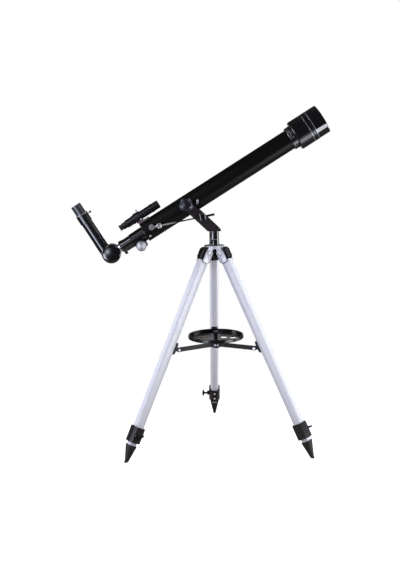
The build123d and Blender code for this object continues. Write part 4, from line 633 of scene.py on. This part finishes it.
for name, azimuth in LEG_AZIMUTHS.items():
    angle = radians(azimuth)
    out = Vector((cos(angle), sin(angle), 0))
    across = Vector((-sin(angle), cos(angle), 0))
    down = out * sin(SPLAY) - Vector((0, 0, cos(SPLAY)))
    outward = out * cos(SPLAY) + Vector((0, 0, sin(SPLAY)))
    pivot = (out * PIVOT_RADIUS + Vector((0, 0, PIVOT_HEIGHT))) * MM

    # Hinge bolt with a domed head on one cheek and a nut on the other
    spin_into(bolt_bm, pivot, across, BOLT_SHANK, 24)
    spin_into(bolt_bm, pivot, across, dome(15.65, 19.15, 5.0), 40)
    spin_into(bolt_bm, pivot, -across, BOLT_NUT, NUT_SIDES)

    # Stamped plates on the cheeks' outer faces
    plate_bm = bmesh.new()
    for face in (-1, 1):
        outline = [(along * face, wide) for along, wide in CHEEK_PLATE]
        slab_into(plate_bm, pivot, down * face, outward, outline, -PLATE_OUTER, -PLATE_INNER, 0.2)
    add_piece(f"cheek_plates_{name}", plate_bm, "stand_head", "cast_silver")

    # Dark sheets showing round the plates, as painted shadow along their edges
    shade_outline_bm = bmesh.new()
    for face in (-1, 1):
        outline = [(along * face, wide) for along, wide in CHEEK_SHADE_OUTLINE]
        slab_into(shade_outline_bm, pivot, down * face, outward, outline, -PLATE_INNER - 0.2, -PLATE_INNER + 0.3)
    add_piece(f"cheek_shade_outline_{name}", shade_outline_bm, "stand_head", "dark_sheet")

    # Rivets high on the leg's inner face
    high_bm = bmesh.new()
    for along, wide in LEG_RIVETS:
        spin_into(high_bm, pivot + (down * along + across * wide) * MM, -outward, dome(13.3, 14.4, 1.7), 24)
    add_piece(f"leg_rivets_{name}", high_bm, f"leg_{name}", "bright_steel")

    # Ribs on the cap's outer face and sides
    rib_bm = bmesh.new()
    for along in FACE_RIBS:
        place = pivot + (down * along + outward * FACE_RIB_OUT) * MM
        slab_into(rib_bm, place, across, down, box_outline(8.4, 1.1), -1.0, 0.5, 0.4)
    for face in (-1, 1):
        for along in SIDE_RIBS:
            place = pivot + (down * along + outward * SIDE_RIB_OUT + across * face * SIDE_RIB_ACROSS) * MM
            slab_into(rib_bm, place, down, outward * face, box_outline(1.0, 3.2), -0.6, 1.1, 0.4)
    add_piece(f"cap_ribs_{name}", rib_bm, f"leg_{name}", "black_plastic")

    # Folded lips of the spreader bracket, along the leg's inner face
    lip_bm = bmesh.new()
    for face in (-1, 1):
        place = pivot + (down * BRACKET_ALONG + across * face * LIP_OUT) * MM
        slab_into(lip_bm, place, down, outward, LIP_OUTLINE, -LIP_HALF, LIP_HALF, 0.3)
    add_piece(f"bracket_lips_{name}", lip_bm, f"leg_{name}", "dark_sheet")

    # Bright bolt and nut through the spreader bracket
    bracket = pivot + (down * BRACKET_ALONG + outward * BRACKET_OUT) * MM
    bracket_bm = bmesh.new()
    spin_into(bracket_bm, bracket, across, dome(6.1, 8.6, 4.2), 32)
    spin_into(bracket_bm, bracket, -across, BRACKET_NUT, NUT_SIDES)
    add_piece(f"bracket_bolt_{name}", bracket_bm, f"leg_{name}", "bright_steel")

    # Two bright rivets on the collar's inner face
    rivet_bm = bmesh.new()
    for along in RIVET_ALONGS:
        rivet = pivot + down * along * MM
        spin_into(rivet_bm, rivet, -outward, dome(17.5, 19.4, 3.4), 32)
    add_piece(f"collar_rivets_{name}", rivet_bm, f"leg_{name}", "bright_steel")

    # Ends of the hub's pins, peened over on the hub's wall
    pin = out * HUB_PIN_CIRCLE * MM + Vector((0, 0, ARM_HEIGHT * MM))
    for sign in (1, -1):
        spin_into(hub_bm, pin, across * sign, dome(10.6, 14.0, 3.3), 28)
add_piece("leg_bolt_set", bolt_bm, "stand_head", "bright_steel", replaces=("leg_bolts",))
add_piece("hub_pin_heads", hub_bm, "spreader", "bright_steel")

# Glossy black sleeve on the head's socket, grooved where the spindle starts
SOCKET_RADIUS = 14.0
SOCKET_LOW = 590.0
SOCKET_HIGH = 607.5
STAND_FOOT = Vector((0, 0, 0))
STAND_AXIS = Vector((0, 0, 1))
sleeve = [
    (SOCKET_LOW, -0.2), (SOCKET_LOW, 0.3), (SOCKET_HIGH - 1.2, 0.3), (SOCKET_HIGH - 0.5, 0.1),
    (SOCKET_HIGH, -0.6), (SOCKET_HIGH, -1.4), (SOCKET_LOW, -0.2),
]
profile = [(along, SOCKET_RADIUS + out) for along, out in sleeve]
spun_piece("socket_sleeve", "stand_head", "gloss_black_plastic", STAND_FOOT, STAND_AXIS, profile, 96)

# Black core under the head's disc, between the cheeks
CORE_LOW = 555.8
CORE_HIGH = 582.0
CORE_RADIUS = 13.0
CORE_PROUD = CORE_RADIUS + 0.3
core = [(CORE_LOW, 0), (CORE_LOW, CORE_RADIUS - 0.4), (CORE_LOW + 0.6, CORE_PROUD), (CORE_HIGH, CORE_PROUD)]
spun_piece("core_sleeve", "stand_head", "black_plastic", STAND_FOOT, STAND_AXIS, core, 72)

# Smooth domed covers on both faces of the diagonal's drum
DRUM_CENTRE = on_tube(-256.6)
DRUM_RADIUS = 27.2
DRUM_SHOULDER = 14.0
DRUM_RISE = 6.3
COVER_RADIUS = DRUM_RADIUS + 0.15
COVER_SKIRT = DRUM_SHOULDER - 0.5
COVER_FULLNESS = 0.9
COVER_STEPS = 16
bm = bmesh.new()
for facing in (NEAR, -NEAR):
    cover = [(COVER_SKIRT, DRUM_RADIUS - 0.6), (COVER_SKIRT, COVER_RADIUS)]
    for step in range(COVER_STEPS + 1):
        angle = pi / 2 * step / COVER_STEPS
        cover.append((DRUM_SHOULDER + DRUM_RISE * sin(angle) ** COVER_FULLNESS, COVER_RADIUS * cos(angle)))
    spin_into(bm, DRUM_CENTRE, facing, cover, 112)
add_piece("drum_covers", bm, "diagonal", "black_plastic", SATIN_TUBE)

# Screw slot in the middle of the drum's near face
DRUM_FACE = DRUM_SHOULDER + DRUM_RISE
SLOT_TURN = radians(45)
slot_along = Vector((cos(SLOT_TURN), 0, sin(SLOT_TURN)))
slot_across = Vector((-sin(SLOT_TURN), 0, cos(SLOT_TURN)))
slot_place = DRUM_CENTRE + NEAR * DRUM_FACE * MM
bm = bmesh.new()
slab_into(bm, slot_place, slot_along, slot_across, box_outline(4.6, 0.9), -0.4, 0.25)
add_piece("drum_slot", bm, "diagonal", "rubber_black")

# Fixing screws of the focuser, round the tube's rear end
FOCUSER_SCREW_TURNS = (-33.0, 87.0, 207.0)
screw_bm = bmesh.new()
for turn in FOCUSER_SCREW_TURNS:
    angle = radians(turn)
    facing = NEAR * cos(angle) + TUBE_UP * sin(angle)
    spin_into(screw_bm, on_tube(-134.0), facing, dome(28.6, 30.8, 3.0), 28)
add_piece("focuser_screws", screw_bm, "tube", "bright_steel")

# Alignment screws of the finder, in the bracket's ring
ALIGN_TURNS = (90.0, 210.0, 330.0)
ALIGN_STEM = [(12, 0), (12, 1.5), (17, 1.5), (17, 0)]
ALIGN_HEAD = [(17, 0), (17, 2.6), (17.5, 3), (20, 3), (20.5, 2.6), (20.5, 0)]
ALIGN_FLUTES = (12, 0.4, 17.2, 20.3, 2.7)
FINDER_RISE = 46.9
align_bm = bmesh.new()
for turn in ALIGN_TURNS:
    angle = radians(turn)
    facing = NEAR * cos(angle) + TUBE_UP * sin(angle)
    origin = on_tube(BRACKET_AT, FINDER_RISE)
    spin_into(align_bm, origin, facing, ALIGN_STEM, 20)
    spin_into(align_bm, origin, facing, ALIGN_HEAD, 48, ALIGN_FLUTES)
add_piece("finder_screws", align_bm, "tube", "bright_steel")

# Bright rounded ring at the mouth of the eyepiece's collar
COLLAR_TOP = 140.5
COLLAR_RADIUS = 17.9
COLLAR_RING = [
    (-3.4, -0.1), (-3.4, 0.2), (-3.0, 0.4), (-0.8, 0.4), (0.0, -0.4), (0.2, -2.3), (-0.4, -2.5),
    (-3.4, -0.1),
]
profile = [(COLLAR_TOP + along, COLLAR_RADIUS + out) for along, out in COLLAR_RING]
spun_piece("collar_ring", "barlow", "chrome_plate", EYE_FOOT, EYE_AXIS, profile, 96, material=TRIM_METAL)

# Polished stop plate on the tube's near side, ahead of the altitude pad
PLATE_OUTLINE = [
    (-3.0, 6.6), (-0.6, 7.4), (2.0, 7.0), (3.0, 5.0), (2.8, 1.2), (1.2, -2.4), (-0.6, -5.4), (-2.2, -7.0),
    (-3.0, -6.4), (-2.0, -3.0), (-2.2, 0.6), (-3.2, 3.6),
]
PLATE_THICKNESS = 2.6
plate_place = on_tube(30.7, -6.5, 27.6)
bm = bmesh.new()
slab_into(bm, plate_place, Vector((1, 0, 0)), STAND_AXIS, PLATE_OUTLINE, 0.0, PLATE_THICKNESS, 0.5)
add_piece("stop_plate", bm, "tube", "bright_steel")

# Camera, matched to the photo's viewpoint
FOCAL_PX = 942.3
IMAGE_WIDTH = 400
SENSOR_WIDTH = 36.0
VIEW_LIMIT = 30.0
PITCH = radians(9.316)
ROLL = radians(-1.129)
HEADING = radians(-0.68)
CAMERA_PLACE = Vector((-0.0432, -2.6856, 0.91535))

camera_data = bpy.data.cameras.new("camera")
camera = bpy.data.objects.new("camera", camera_data)
bpy.context.scene.collection.objects.link(camera)
bpy.context.scene.camera = camera
camera_data.sensor_fit = "HORIZONTAL"
camera_data.sensor_width = SENSOR_WIDTH
camera_data.lens = camera_data.sensor_width * FOCAL_PX / IMAGE_WIDTH
camera_data.clip_end = VIEW_LIMIT
heading = Matrix.Rotation(HEADING, 3, "Z")
level_up = Vector((0, sin(PITCH), cos(PITCH)))
right = heading @ (Vector((1, 0, 0)) * cos(ROLL) + level_up * sin(ROLL))
up = heading @ (Vector((1, 0, 0)) * -sin(ROLL) + level_up * cos(ROLL))
turned = Matrix((right, up, right.cross(up))).transposed()
camera.matrix_world = Matrix.Translation(heading @ CAMERA_PLACE) @ turned.to_4x4()

# Floor that fades into the white surround, and soft studio light
FLOOR_RADIUS = 1.6
FLOOR_PLACE = (0, 0, -0.0005)
FLOOR_FADE_START = 0.55
FLOOR_FADE_END = 1.2
FLOOR_GLOW = 0.7
FLOOR_BOUNCE = colour(0.45, 0.37, 0.33)
bpy.ops.mesh.primitive_circle_add(vertices=128, radius=FLOOR_RADIUS, fill_type="NGON", location=FLOOR_PLACE)
floor = bpy.context.object
floor.name = "floor"
floor_graph = Graph("floor_white")
floor_tone = floor_graph.noise(2.0, 2.0)
floor_white = floor_graph.blend(floor_tone, colour(0.90, 0.90, 0.90), colour(0.92, 0.92, 0.92))
seen = floor_graph.node("ShaderNodeLightPath", output="Is Camera Ray")
floor_graph.set(base_color=floor_graph.blend(seen, FLOOR_BOUNCE, floor_white))
floor_graph.set(roughness=0.9, specular_ior_level=0.1)
floor_glow = floor_graph.blend(seen, colour(0, 0, 0), colour(1, 1, 1))
floor_graph.set(emission_color=floor_glow, emission_strength=FLOOR_GLOW)
centre_distance = floor_graph.length(floor_graph.place())
floor_graph.set(alpha=centre_distance.ramp(FLOOR_FADE_START, FLOOR_FADE_END, 1.0, 0.0))
floor.data.materials.append(floor_graph.material)

SURROUND_LIGHT = 0.06
world = bpy.data.worlds.new("studio")
bpy.context.scene.world = world
world.use_nodes = True
tree = world.node_tree
background = tree.nodes["Background"]
background.inputs["Color"].default_value = colour(1.0, 1.0, 1.0)
light_path = tree.nodes.new("ShaderNodeLightPath")
level = tree.nodes.new("ShaderNodeMapRange")
level.inputs["To Min"].default_value = SURROUND_LIGHT
level.inputs["To Max"].default_value = 1.0
tree.links.new(light_path.outputs["Is Camera Ray"], level.inputs["Value"])
tree.links.new(level.outputs["Result"], background.inputs["Strength"])


def area_light(name, place, aim, size, power, tint):
    """A soft rectangular lamp aimed at a point."""
    data = bpy.data.lights.new(name, "AREA")
    data.shape = "RECTANGLE"
    data.size = size[0]
    data.size_y = size[1]
    data.energy = power
    data.color = tint
    lamp = bpy.data.objects.new(name, data)
    lamp.visible_camera = False
    lamp.location = place
    lamp.rotation_euler = (Vector(aim) - Vector(place)).to_track_quat("-Z", "Y").to_euler()
    bpy.context.scene.collection.objects.link(lamp)


COOL = (0.90, 0.93, 1.0)
BLUE = (0.80, 0.84, 1.0)
WARM = (1.0, 0.93, 0.90)
# Each lamp's place, aim, width and height in metres, power in watts, and tint
LAMPS = {
    "left": ((-1.12, -1.20, 0.15), (0, 0, 0.45), (0.6, 0.6), 8.5, BLUE),
    "left_high": ((-1.14, -1.17, 1.67), (-0.2, 0, 0.65), (0.5, 0.35), 3.5, BLUE),
    "left_side": ((-1.9, 0.0, 0.9), (0, 0, 0.5), (0.5, 1.6), 26.0, COOL),
    "right": ((1.9, 0.1, 0.8), (0, 0, 0.6), (1.0, 2.0), 30.0, COOL),
    "low": ((0.84, -0.60, 0.20), (0.3, 0, 0.95), (0.5, 0.45), 5.5, COOL),
    "camera_left": ((-1.2, -2.8, 0.75), (-0.2, 0, 0.65), (1.0, 1.0), 6.0, BLUE),
    "spark": ((-0.98, -2.5, 0.55), (-0.33, 0, 0.58), (0.25, 0.25), 2.0, COOL),
    "back": ((0.0, 2.2, 0.40), (0, 0, 0.4), (2.6, 0.7), 7.0, WARM),
    "high": ((1.3, -1.5, 2.4), (0, 0, 0.4), (0.8, 0.8), 10.0, COOL),
    "top": ((0.5, 0.4, 2.8), (0, 0, 0.4), (1.6, 1.6), 8.0, COOL),
}
for name, settings in LAMPS.items():
    area_light(name, *settings)

bpy.context.scene.view_settings.view_transform = "Standard"
